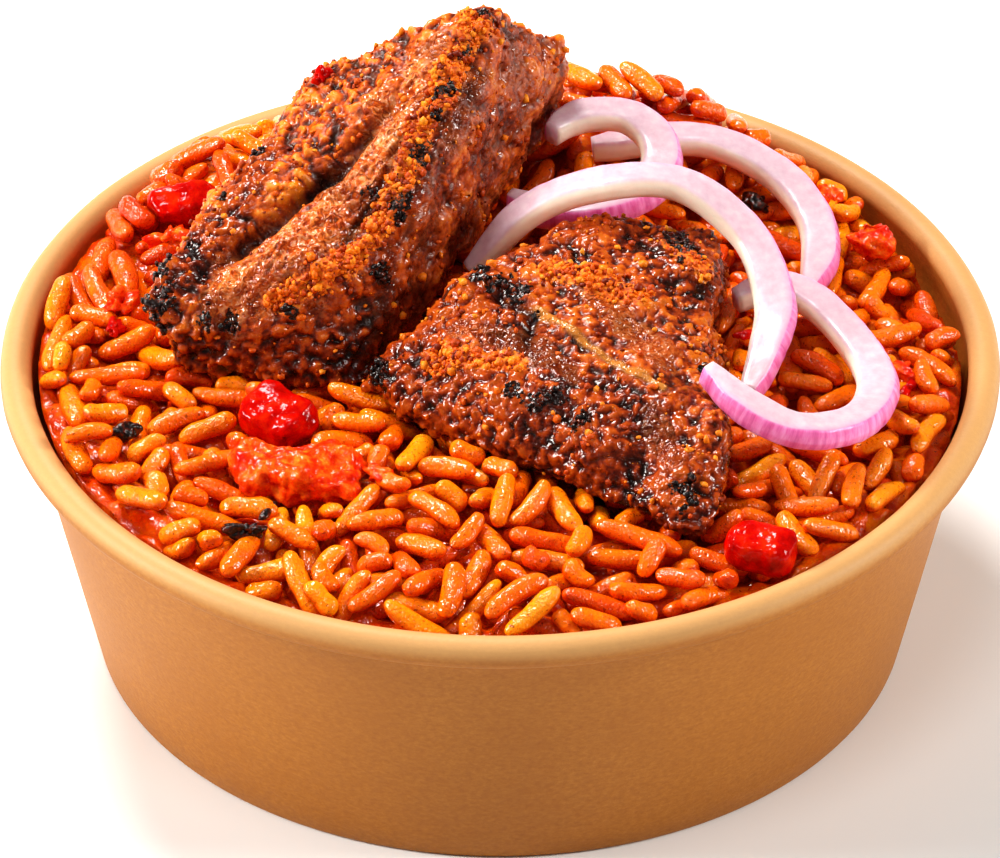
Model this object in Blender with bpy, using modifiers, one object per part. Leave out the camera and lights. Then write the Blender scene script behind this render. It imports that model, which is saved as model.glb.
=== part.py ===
"""Jollof rice with two pieces of grilled meat, red onion rings and pepper, in a kraft paper bowl.

The origin is the centre of the bowl's foot on the table, +Z is up, and the eater sits on the -Y side.
Lengths below are in millimetres; MM turns them into metres.
"""
import math

import bmesh
import bpy
from mathutils import Matrix, Vector, noise

MM = 0.001
GAP = 0.3                    # air left between touching solids
SECTORS = 60                 # facets round the bowl and the heap

# Paper bowl
RIM_RADIUS = 75.0            # outside of the rolled rim
BOWL_HEIGHT = 49.0
BEAD_RADIUS = 2.4            # half the thickness of the rolled rim
BEAD_CORNERS = 9             # corners of the roll's section, from its inside over the top
BEAD_STEP = 30.0             # degrees between them
WALL_TOP_RADIUS = 71.2       # outside of the wall just under the roll
BASE_RADIUS = 61.35
PAPER = 0.6                  # thickness of the board
FLOOR_INSET = 1.3            # how far the flat floor ends inside the wall
FOOT_WIDTH = 2.5
FOOT_DEPTH = 1.4             # how far the base board sits above the table
BOTTOM_EDGE = 0.7
BOWL_CORNER = 3.0            # height at which the inside wall starts

# Heap of rice
HEAP_RINGS = 13
HEAP_CENTRE = 52.5           # height in the middle, between the meats
HEAP_FALL = 3.0              # how late the heap falls away towards the wall
HEAP_BASE_INSET = 2.0        # how far the heap's flat underside ends inside its side
HEAP_AIR = GAP + 0.06        # air between the heap and the wall
EDGE_CALM = 3.0              # how quickly mounds and bumps fade in from the edge
WALL_LEVELS = (              # (direction in degrees from +X, height of the rice at the wall)
    (-90, 48.0), (-35, 46.8), (-8, 45.8), (18, 42.6), (48, 45.0), (95, 47.0), (140, 47.0), (185, 46.6),
    (230, 47.4), (270, 48.0),
)
MOUNDS = (                   # (x, y, spread along x, spread along y, height), a hollow where it is negative
    (20, 53, 20, 9, 14.5),
    (-37, 50, 16, 14, 7.0),
    (65, 21, 7, 6, -3.0),
)
HEAP_BUMP = 0.9              # unevenness of the heap
HEAP_BUMP_SIZE = 9.0
SEAT_SWELL = 0.45            # air pressed round each topping

# Grilled meat: the corners of each chunk, then how soft and uneven its surface is
MEAT_LARGE = (
    (-21.0, -3.5, 67.5), (-54.0, -8.5, 61.5), (-48.0, -9.0, 49.8), (-19.0, -12.0, 50.4),
    (-31.0, -12.5, 50.2), (-43.0, 14.0, 69.5), (-35.0, 22.0, 50.5), (-1.5, 34.0, 90.0),
    (-28.5, 33.0, 77.0), (-24.0, 47.0, 57.0), (11.2, 45.6, 74.4), (11.0, 49.4, 60.0),
    (-6.8, 11.0, 54.6), (-8.0, 12.0, 79.0),
)
MEAT_SMALL = (
    (-22.0, -15.7, 54.5), (-20.4, -16.7, 50.6), (8.0, -33.0, 49.8), (30.0, -53.0, 48.6),
    (34.5, -46.5, 53.5), (9.0, -31.5, 60.0), (-5.5, -3.0, 66.0), (-3.0, 2.0, 53.0),
    (15.0, 11.0, 67.2), (16.0, 13.0, 54.0), (33.0, 10.5, 64.5), (34.0, 13.0, 53.5),
    (30.5, -10.0, 60.5), (32.4, -36.0, 60.0), (-7.0, -20.0, 60.0),
)
MEAT_VOXEL = 2.3
MEAT_SMOOTHING = 4
MEAT_TRIANGLES = 900
MEAT_BUMP = 1.1
MEAT_BUMP_SIZE = 8.0
# Grooves pressed into the chunks: (start, end, width, depth)
GROOVE_LARGE = ((-46.0, -4.5, 64.5), (-14.5, 20.0, 81.0), 3.0, 1.8)
GROOVE_SMALL = ((35.0, -1.0, 60.0), (34.5, -31.0, 58.5), 5.0, 3.0)

# Red onion rings: the middle of each ring's cut face, from end to end
ONION_WIDTH = 5.4            # across the cut face
ONION_THICKNESS = 3.6        # of the slice
ONION_FLARE = 0.8            # how far the skin side leans out below the cut face
ONION_EDGE = 0.4             # how far each corner of the section is cut back
ONION_END = 0.45             # width of the cut ends, as a share of the full width
ONION_END_LENGTH = 0.16      # share of the ring over which each end narrows
STATIONS_PER_MM = 0.3
CURVE_STEPS = 24             # fine steps of the curve between two of a ring's points
RINGS = {
    "onion_ring_a": (
        (7.9, 35.2, 65.4), (10.4, 38.2, 65.6), (14.0, 39.8, 65.8), (19.5, 39.4, 65.6),
        (23.4, 35.6, 64.4), (24.0, 29.8, 63.2), (20.6, 24.2, 62.2), (13.6, 21.0, 61.6),
        (6.4, 22.0, 61.0), (1.6, 24.6, 60.8),
    ),
    "onion_ring_b": (
        (14.0, 41.4, 58.4), (23.5, 42.6, 59.3), (33.0, 41.8, 59.2), (41.8, 37.2, 57.0),
        (47.2, 29.0, 54.9), (48.2, 20.0, 54.0), (46.4, 11.4, 53.2),
    ),
    "onion_ring_c": (
        (-5.2, 7.8, 58.4), (3.4, 10.8, 67.6), (14.5, 11.0, 72.6), (27.0, 12.6, 71.6),
        (37.0, 7.0, 66.2), (40.6, -3.6, 61.6), (39.2, -12.4, 58.8), (36.5, -20.3, 56.2),
    ),
    "onion_ring_d": (
        (35.2, 3.4, 56.9), (41.4, 6.0, 57.6), (47.4, 2.4, 56.8), (53.2, -6.6, 55.4),
        (55.7, -17.4, 55.9), (52.2, -28.6, 58.0), (44.2, -34.0, 60.4), (36.4, -32.0, 63.2),
        (30.8, -26.8, 65.2),
    ),
}

# Pepper and tomato: (centre, size, turn about Z in degrees, lean towards the eater in degrees)
BITS = {
    "pepper_front_left": ((-32.8, -22.2, 52.2), (10.8, 9.2, 6.0), -38, 12),
    "pepper_front_right": ((38.0, -51.8, 50.0), (10.0, 7.0, 5.2), -20, 8),
    "pepper_back_left": ((-48.2, 32.8, 52.4), (10.6, 5.8, 4.6), 18, 20),
    "tomato_back_right": ((56.2, 27.8, 49.6), (7.0, 6.6, 4.8), -40, 14),
    "tomato_pulp": ((-29.5, -34.0, 50.8), (19.5, 10.4, 5.0), -12, 6),
}
BIT_CUTS = 1
BIT_BUMP = 0.55
BIT_BUMP_SIZE = 3.5

COLOURS = {                  # base colour, roughness
    "kraft": ((0.55, 0.33, 0.15), 0.75),
    "rice": ((0.86, 0.27, 0.02), 0.35),
    "meat": ((0.22, 0.06, 0.02), 0.4),
    "onion": ((0.85, 0.72, 0.76), 0.35),
    "pepper": ((0.65, 0.02, 0.01), 0.25),
}


def clear_scene():
    for obj in list(bpy.data.objects):
        bpy.data.objects.remove(obj, do_unlink=True)


def collection(name):
    group = bpy.data.collections.new(name)
    bpy.context.scene.collection.children.link(group)
    return group


def material(name):
    colour, roughness = COLOURS[name]
    mat = bpy.data.materials.new(name)
    mat.use_nodes = True
    shader = mat.node_tree.nodes["Principled BSDF"]
    shader.inputs["Base Color"].default_value = (*colour, 1.0)
    shader.inputs["Roughness"].default_value = roughness
    shader.inputs["Metallic"].default_value = 0.0
    return mat


def new_object(name, mesh, group, mat):
    obj = bpy.data.objects.new(name, mesh)
    group.objects.link(obj)
    if mat:
        mesh.materials.clear()
        mesh.materials.append(mat)
    mesh.shade_smooth()
    mesh.set_sharp_from_angle(angle=math.radians(40))
    return obj


def mesh_from(bm, name):
    bmesh.ops.recalc_face_normals(bm, faces=bm.faces[:])
    mesh = bpy.data.meshes.new(name)
    bm.to_mesh(mesh)
    bm.free()
    return mesh


def evaluated_mesh(obj):
    """The object's mesh with its modifiers, as a new mesh."""
    bpy.context.view_layer.update()
    graph = bpy.context.evaluated_depsgraph_get()
    return bpy.data.meshes.new_from_object(obj.evaluated_get(graph))


def bake(obj):
    """Replaces the object's mesh with its modified form, and drops the modifiers."""
    mesh = evaluated_mesh(obj)
    obj.modifiers.clear()
    obj.data = mesh


def wall_radius(height):
    """Outside radius of the bowl's tapered wall at a height."""
    wall_height = BOWL_HEIGHT - 2 * BEAD_RADIUS
    return BASE_RADIUS + (WALL_TOP_RADIUS - BASE_RADIUS) * height / wall_height


def bowl_profile():
    """Half section of the bowl, from the axis inside, over the rim and back to the axis below."""
    floor = FOOT_DEPTH + PAPER
    bead_radius = RIM_RADIUS - BEAD_RADIUS
    bead_height = BOWL_HEIGHT - BEAD_RADIUS
    wall_top = bead_height - BEAD_RADIUS
    points = [(0, floor), (wall_radius(floor) - FLOOR_INSET, floor)]
    points.append((wall_radius(BOWL_CORNER) - PAPER, BOWL_CORNER))
    points.append((wall_radius(wall_top - PAPER) - PAPER, wall_top - PAPER))
    for step in range(BEAD_CORNERS):
        angle = math.radians(180 - BEAD_STEP * step)
        points.append((bead_radius + BEAD_RADIUS * math.cos(angle), bead_height + BEAD_RADIUS * math.sin(angle)))
    points.append((wall_radius(wall_top), wall_top))
    points.append((wall_radius(BOTTOM_EDGE), BOTTOM_EDGE))
    points.append((BASE_RADIUS - BOTTOM_EDGE, 0))
    points.append((BASE_RADIUS - BOTTOM_EDGE - FOOT_WIDTH, 0))
    points.append((BASE_RADIUS - BOTTOM_EDGE - FOOT_WIDTH - PAPER, FOOT_DEPTH))
    points.append((0, FOOT_DEPTH))
    return points


def make_bowl(group, mat):
    mesh = bpy.data.meshes.new("bowl")
    vertices = [(radius * MM, 0, height * MM) for radius, height in bowl_profile()]
    edges = [(i, i + 1) for i in range(len(vertices) - 1)]
    mesh.from_pydata(vertices, edges, [])
    obj = new_object("bowl", mesh, group, mat)
    screw = obj.modifiers.new("turn", "SCREW")
    screw.axis = "Z"
    screw.angle = math.tau
    screw.steps = SECTORS
    screw.render_steps = SECTORS
    screw.use_merge_vertices = True
    screw.merge_threshold = 0.00001
    return obj


def wall_level(direction):
    """Height of the rice where it meets the wall, in a direction given in degrees."""
    direction = (direction + 90) % 360 - 90
    for (start, low), (end, high) in zip(WALL_LEVELS, WALL_LEVELS[1:]):
        if start <= direction <= end:
            share = (1 - math.cos(math.pi * (direction - start) / (end - start))) / 2
            return low + (high - low) * share
    return WALL_LEVELS[0][1]


def heap_height(x, y):
    radius = math.hypot(x, y)
    edge = wall_level(math.degrees(math.atan2(y, x)))
    crown = 1 - min(1, radius / (wall_radius(edge) - PAPER)) ** HEAP_FALL
    height = edge + (HEAP_CENTRE - edge) * crown
    rim_fade = min(1, EDGE_CALM * crown)
    for cx, cy, spread_x, spread_y, rise in MOUNDS:
        away = ((x - cx) / spread_x) ** 2 + ((y - cy) / spread_y) ** 2
        height += rise * math.exp(-away / 2) * rim_fade
    bump = noise.noise(Vector((x, y, 0)) / HEAP_BUMP_SIZE)
    return height + HEAP_BUMP * bump * rim_fade


def add_ring(bm, radii, heights):
    """One point for each sector, at its own radius and height."""
    ring = []
    for sector, (radius, height) in enumerate(zip(radii, heights)):
        angle = math.tau * sector / SECTORS
        ring.append(bm.verts.new(Vector((radius * math.cos(angle), radius * math.sin(angle), height)) * MM))
    return ring


def heap_edge(angle):
    """Radius of the heap where it meets the wall or the roll, in a direction given in radians."""
    wall = wall_radius(wall_level(math.degrees(angle))) - PAPER
    bead = RIM_RADIUS - 2 * BEAD_RADIUS
    return min(wall, bead) - HEAP_AIR


def make_heap(group, mat):
    """The rice as one solid: its uneven top, its side along the wall and its flat underside."""
    bm = bmesh.new()
    floor = FOOT_DEPTH + PAPER + GAP
    angles = [math.tau * sector / SECTORS for sector in range(SECTORS)]
    edge = [heap_edge(angle) for angle in angles]
    rings = []
    for step in range(1, HEAP_RINGS + 1):
        radii = [radius * step / HEAP_RINGS for radius in edge]
        heights = [heap_height(r * math.cos(a), r * math.sin(a)) for r, a in zip(radii, angles)]
        rings.append(add_ring(bm, radii, heights))
    low_radius = wall_radius(BOWL_CORNER) - PAPER - HEAP_AIR
    rings.append(add_ring(bm, [low_radius] * SECTORS, [BOWL_CORNER + GAP] * SECTORS))
    rings.append(add_ring(bm, [low_radius - HEAP_BASE_INSET] * SECTORS, [floor] * SECTORS))

    top = bm.verts.new((0, 0, heap_height(0, 0) * MM))
    bottom = bm.verts.new((0, 0, floor * MM))
    for sector in range(SECTORS):
        after = (sector + 1) % SECTORS
        bm.faces.new((top, rings[0][sector], rings[0][after]))
        bm.faces.new((bottom, rings[-1][after], rings[-1][sector]))
        for inner, outer in zip(rings, rings[1:]):
            bm.faces.new((inner[sector], outer[sector], outer[after], inner[after]))
    bmesh.ops.triangulate(bm, faces=bm.faces[:])
    return new_object("rice", mesh_from(bm, "rice"), group, mat)


def roughen(mesh, depth, size, seed):
    """Moves each point along its normal by smooth noise."""
    moves = []
    for vertex in mesh.vertices:
        place = vertex.co / (size * MM) + Vector((seed, 0, 0))
        moves.append(vertex.normal * noise.noise(place) * depth * MM)
    for vertex, move in zip(mesh.vertices, moves):
        vertex.co += move


def press_groove(mesh, start, end, width, depth):
    """Sinks a soft groove along a line into the surface near it."""
    start, end = Vector(start) * MM, Vector(end) * MM
    along = end - start
    for vertex in mesh.vertices:
        share = (vertex.co - start).dot(along) / along.length_squared
        nearest = start + along * min(1, max(0, share))
        away = (vertex.co - nearest).length / (width * MM)
        fade = math.sin(math.pi * min(1, max(0, share))) ** 0.5
        vertex.co -= vertex.normal * depth * MM * math.exp(-away ** 2) * fade


def make_meat(name, corners, seed, group, mat, groove):
    bm = bmesh.new()
    for corner in corners:
        bm.verts.new(Vector(corner) * MM)
    result = bmesh.ops.convex_hull(bm, input=bm.verts[:])
    inside = [item for item in result["geom_interior"] if isinstance(item, bmesh.types.BMVert)]
    bmesh.ops.delete(bm, geom=inside, context="VERTS")
    obj = new_object(name, mesh_from(bm, name), group, mat)
    remesh = obj.modifiers.new("even faces", "REMESH")
    remesh.mode = "VOXEL"
    remesh.voxel_size = MEAT_VOXEL * MM
    smooth = obj.modifiers.new("soft edges", "SMOOTH")
    smooth.factor = 0.5
    smooth.iterations = MEAT_SMOOTHING
    bake(obj)
    roughen(obj.data, MEAT_BUMP, MEAT_BUMP_SIZE, seed)
    press_groove(obj.data, *groove)
    decimate = obj.modifiers.new("fewer faces", "DECIMATE")
    decimate.ratio = MEAT_TRIANGLES / (2 * len(obj.data.polygons))
    return obj


def smooth_path(points, count):
    """Points evenly spread along a Catmull-Rom curve through the given ones."""
    points = [Vector(p) for p in points]
    padded = [2 * points[0] - points[1], *points, 2 * points[-1] - points[-2]]
    fine = []
    for p0, p1, p2, p3 in zip(padded, padded[1:], padded[2:], padded[3:]):
        for step in range(CURVE_STEPS):
            t = step / CURVE_STEPS
            fine.append(0.5 * (2 * p1 + (p2 - p0) * t + (2 * p0 - 5 * p1 + 4 * p2 - p3) * t * t
                               + (3 * p1 - p0 - 3 * p2 + p3) * t ** 3))
    fine.append(points[-1])
    lengths = [0.0]
    for before, after in zip(fine, fine[1:]):
        lengths.append(lengths[-1] + (after - before).length)
    total = lengths[-1]
    path, index = [], 0
    for step in range(count):
        wanted = total * step / (count - 1)
        while index < len(fine) - 2 and lengths[index + 1] < wanted:
            index += 1
        span = lengths[index + 1] - lengths[index]
        path.append(fine[index].lerp(fine[index + 1], (wanted - lengths[index]) / span))
    return path, total


def onion_section(width):
    """Cross-section of a ring: (outwards, up) from the middle of its cut face, its skin leaning out below."""
    half = width / 2
    edge = ONION_EDGE
    low = -ONION_THICKNESS
    return [
        (edge - half, 0), (half - edge, 0), (half, -edge), (half + ONION_FLARE, low / 2),
        (half + ONION_FLARE / 2, low + edge), (half - edge, low), (edge - half, low), (-half, low + edge),
        (-half, -edge),
    ]


def make_ring(name, route, group, mat):
    """A band swept along the route, its skin on the outside of the bend, narrower at its cut ends."""
    _, length = smooth_path(route, 2)
    count = round(length * STATIONS_PER_MM)
    path, _ = smooth_path(route, count)
    centre = sum(path, Vector()) / count
    bm = bmesh.new()
    loops = []
    for index, point in enumerate(path):
        ahead = (path[min(index + 1, count - 1)] - path[max(index - 1, 0)]).normalized()
        up = Vector((0, 0, 1))
        outward = ahead.cross(up).normalized()
        if outward.dot(point - centre) < 0:
            outward = -outward
        up = outward.cross(ahead).normalized()
        if up.z < 0:
            up = -up
        share = index / (count - 1)
        end_share = min(1, min(share, 1 - share) / ONION_END_LENGTH)
        width = ONION_WIDTH * (ONION_END + (1 - ONION_END) * math.sin(end_share * math.pi / 2))
        loops.append([bm.verts.new((point + outward * a + up * b) * MM) for a, b in onion_section(width)])
    sides = len(loops[0])
    for before, after in zip(loops, loops[1:]):
        for side in range(sides):
            nxt = (side + 1) % sides
            bm.faces.new((before[side], before[nxt], after[nxt], after[side]))
    bm.faces.new(loops[0])
    bm.faces.new(loops[-1])
    bmesh.ops.triangulate(bm, faces=bm.faces[:])
    return new_object(name, mesh_from(bm, name), group, mat)


def make_bit(name, centre, size, turn, lean, seed, group, mat):
    """A small soft chunk of pepper or tomato."""
    bm = bmesh.new()
    bmesh.ops.create_cube(bm, size=1.0)
    bmesh.ops.subdivide_edges(bm, edges=bm.edges[:], cuts=BIT_CUTS, use_grid_fill=True)
    bmesh.ops.scale(bm, verts=bm.verts[:], vec=Vector(size) * MM)
    place = Matrix.Translation(Vector(centre) * MM) @ Matrix.Rotation(math.radians(turn), 4, "Z") \
        @ Matrix.Rotation(math.radians(lean), 4, "X")
    bmesh.ops.transform(bm, matrix=place, verts=bm.verts[:])
    mesh = mesh_from(bm, name)
    roughen(mesh, BIT_BUMP, BIT_BUMP_SIZE, seed)
    obj = new_object(name, mesh, group, mat)
    soft = obj.modifiers.new("soft", "SUBSURF")
    soft.levels = 1
    soft.render_levels = 1
    return obj


def make_cutter(obj, group):
    """A slightly swollen copy of a topping, to press its seat into the rice."""
    cutter = bpy.data.objects.new("seat_of_" + obj.name, evaluated_mesh(obj))
    group.objects.link(cutter)
    swell = cutter.modifiers.new("air", "DISPLACE")
    swell.mid_level = 0.0
    swell.strength = SEAT_SWELL * MM
    cutter.hide_render = True
    cutter.display_type = "WIRE"
    return cutter


def cut_seats(heap, toppings, group):
    for topping in toppings:
        cut = heap.modifiers.new("seat of " + topping.name, "BOOLEAN")
        cut.operation = "DIFFERENCE"
        cut.solver = "EXACT"
        cut.object = make_cutter(topping, group)


def main():
    clear_scene()
    parts = collection("jollof_rice")
    cutters = collection("cutters")
    make_bowl(parts, material("kraft"))
    heap = make_heap(parts, material("rice"))
    meat = material("meat")
    toppings = [
        make_meat("meat_large", MEAT_LARGE, 3, parts, meat, GROOVE_LARGE),
        make_meat("meat_small", MEAT_SMALL, 11, parts, meat, GROOVE_SMALL),
    ]
    onion = material("onion")
    for name, route in RINGS.items():
        toppings.append(make_ring(name, route, parts, onion))
    pepper = material("pepper")
    for seed, (name, (centre, size, turn, lean)) in enumerate(BITS.items()):
        toppings.append(make_bit(name, centre, size, turn, lean, 20 + seed, parts, pepper))
    cut_seats(heap, toppings, cutters)


main()
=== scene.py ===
"""The looks of a bowl of jollof rice: loose grains, grilled meat, red onion rings, pepper and kraft paper.

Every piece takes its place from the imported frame, which is in metres with +Z up. The numbers here are in
millimetres, in the same axes, until mesh_object or write_points turns them into metres.
"""
import math

import bmesh
import bpy
import numpy as np
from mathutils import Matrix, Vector
from mathutils.bvhtree import BVHTree

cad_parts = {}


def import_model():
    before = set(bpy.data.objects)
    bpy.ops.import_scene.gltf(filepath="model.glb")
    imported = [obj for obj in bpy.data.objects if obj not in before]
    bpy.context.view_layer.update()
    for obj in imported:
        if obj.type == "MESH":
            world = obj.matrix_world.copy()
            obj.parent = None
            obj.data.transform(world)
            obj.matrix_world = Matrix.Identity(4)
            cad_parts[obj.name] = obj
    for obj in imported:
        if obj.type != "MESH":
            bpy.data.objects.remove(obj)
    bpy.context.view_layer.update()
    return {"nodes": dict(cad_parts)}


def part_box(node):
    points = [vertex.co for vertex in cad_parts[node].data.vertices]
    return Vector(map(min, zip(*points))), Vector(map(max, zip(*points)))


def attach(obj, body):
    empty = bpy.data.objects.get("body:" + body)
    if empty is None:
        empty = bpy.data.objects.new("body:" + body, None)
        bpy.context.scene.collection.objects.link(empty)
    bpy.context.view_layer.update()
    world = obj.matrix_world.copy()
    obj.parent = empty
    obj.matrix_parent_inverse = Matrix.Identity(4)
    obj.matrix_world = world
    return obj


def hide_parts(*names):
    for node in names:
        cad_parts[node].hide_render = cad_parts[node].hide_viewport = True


MM = 0.001
SEED = 11

# Camera: it looks along +Y and down at the bowl, from far away
CAMERA_TILT = 35.78  # degrees below level
CAMERA_DISTANCE = 1507.3
CAMERA_AIM = 33.93  # height of the point it looks at
CAMERA_LENS = 360.0
CAMERA_SENSOR = 36.0
CAMERA_REACH = 20  # metres

# Studio
LIGHT_AIM = 45.0  # height that the lights face
LIGHT_DISTANCE = 1.25  # metres
LIGHTS = (  # name, degrees from +X, elevation, size in metres, watts, colour
    ("key", 118, 56, 0.4, 14.2, (1.0, 0.98, 0.95)),
    ("left", 184, 26, 0.36, 14.5, (1.0, 0.99, 0.95)),
    ("right", -6, 24, 0.36, 10.2, (1.0, 0.99, 0.95)),
    ("front", 262, 66, 0.4, 2.3, (1, 1, 1)),
)
WORLD_LIGHT = 0.14
WORLD_COLOUR = (1.0, 0.99, 0.97, 1.0)
FLOOR_REACH = 6.0  # metres

# Paper bowl
BEAD_RADIUS = 2.4  # half the thickness of the rolled rim
BEAD_END = -62  # degrees, where the roll meets the wall
BEAD_STEPS = 20
WALL_TOP_RADIUS = 71.2
WALL_STEPS = 12
WALL_WAVE = 0.16  # how far the wall and the rolled rim stray from a perfect circle
RIM_WAVE = 0.12
BASE_RADIUS = 61.35
BASE_RINGS = (40, 20, 0.5)  # radii of the rings across the base
PAPER = 0.6
FOOT_WIDTH = 2.5
FOOT_DEPTH = 1.4
BOTTOM_EDGE = 0.7
BOWL_SECTORS = 288
WALL_WAVELENGTH = 35
RIM_WAVELENGTH = 22
WAVE_CIRCLE = 60  # radius of the circle on which the waves are read

# Height grid over the heap
CELL = 0.4
HALF_SPAN = 72.0
GRID_SIDE = round(2 * HALF_SPAN / CELL) + 1
GRID_AXIS = np.linspace(-HALF_SPAN, HALF_SPAN, GRID_SIDE)
OPEN_AIR = 999.0  # a height above everything, where nothing hangs over the heap
LEFT_BANK = 2.8  # how much higher the loose grains lie against the left wall and the right wall
RIGHT_BANK = 2.4
BANK = (54, 66)  # radii between which both banks rise
LEFT_START = (30, 56)  # how far out to the left and to the right each bank begins and is whole
RIGHT_START = (26, 50)

# Sauced core under the grains
CORE_DEPTH = 6.2  # how far it lies below the heap's top
CORE_RADIUS = 69.2
CORE_RINGS = 120
CORE_SECTORS = 400
CORE_FLOOR = 3.0
CORE_MARGIN = 3  # how much narrower than the bowl's base its foot is
EDGE_HEIGHT = 40.0  # the heap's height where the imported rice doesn't reach
PASTE_RISE = 3.0  # how much higher the core stands where crushed rice fills the gaps
WALL_RISE = 2.2  # how much higher it stands against the wall
WALL_BAND = (61, 68)
PASTE_PLACES = (  # middle (x, y) and reach of those places
    (-54, 16, 14), (-45, 44, 12), (-33, -31, 8), (-56, -12, 6), (54, 38, 12), (16, 44, 9), (60, -6, 8),
)

# Grains of rice
GRAIN_LENGTH = 10.6
GRAIN_WIDTH = 3.25
LENGTH_SPREAD = 0.11  # share by which lengths and widths vary
WIDTH_SPREAD = 0.07
GRAIN_FLATNESS = 0.9
GRAIN_BLUNTNESS = 4.2  # exponents of a grain's outline
GRAIN_ROUNDNESS = 2.15
GRAIN_SOAK = 0.28  # how far chance decides how sauced a grain is
GRAIN_RINGS = 15
GRAIN_SIDES = 14
BROKEN_SHARE = 0.18
BROKEN_LENGTH = (0.45, 0.8)  # length of a broken grain, as a share of a whole one
GRAIN_TRIES = 14  # places looked at for each grain
TRY_OFFSET = 2.5
CHOICE_SPREAD = 0.5  # how far chance decides between the lowest places
RECOUNT = 20  # grains or misses between two looks at which cells are open
GIVE_UP = 500  # throws in a row that find no place
GRAIN_REACH = 69.5  # no part of a grain lies further out than this
UNDER_MEAT = 7  # how far under the meat grains are laid
OPEN_DEPTH = 2.0  # the heap takes another grain where it is this far below its top
PROUD_MIDDLE = 1.5  # how far a grain's middle and its ends may stand above the heap's top
PROUD_END = 2.6
PRESS = 0.4  # how far a grain may press into a topping
STEEPEST = 1.1  # rise over run of a grain's axis
SUPPORT_SPAN = 0.92  # shares of a grain's length and width that its supports span
FOOTPRINT_SPAN = 0.9
SUPPORTS = 11  # points along a grain, and across it, that rest on the heap
FOOTPRINT = 5
GRAIN_KINDS = (  # name, share of the heap, dark, middle and light colour, stain
    ("amber", 0.18, (240, 122, 0), (248, 140, 4), (254, 160, 20), (240, 98, 0)),
    ("orange", 0.48, (236, 102, 0), (244, 120, 2), (252, 142, 10), (232, 78, 0)),
    ("sauced", 0.34, (228, 86, 0), (240, 104, 0), (248, 126, 6), (218, 60, 0)),
)

# Grilled meat
MEAT_VOXEL = {"meat_large": 0.33, "meat_small": 0.31}
MEAT_PASSES = 7  # smoothing that melts the facets
EDGE_PASSES = 350  # smoothing that melts the edges too, which shows where they are
FIBRE_WIDTH = 0.95
FIBRE_LENGTH = 5.5
FIBRE_WANDER = 1.3
LUMP_WANDER = 0.75
SPICE_CRUMB = (0.18, 0.75)  # smallest and largest size
BURNT_CRUMB = (0.25, 0.75)
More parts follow.
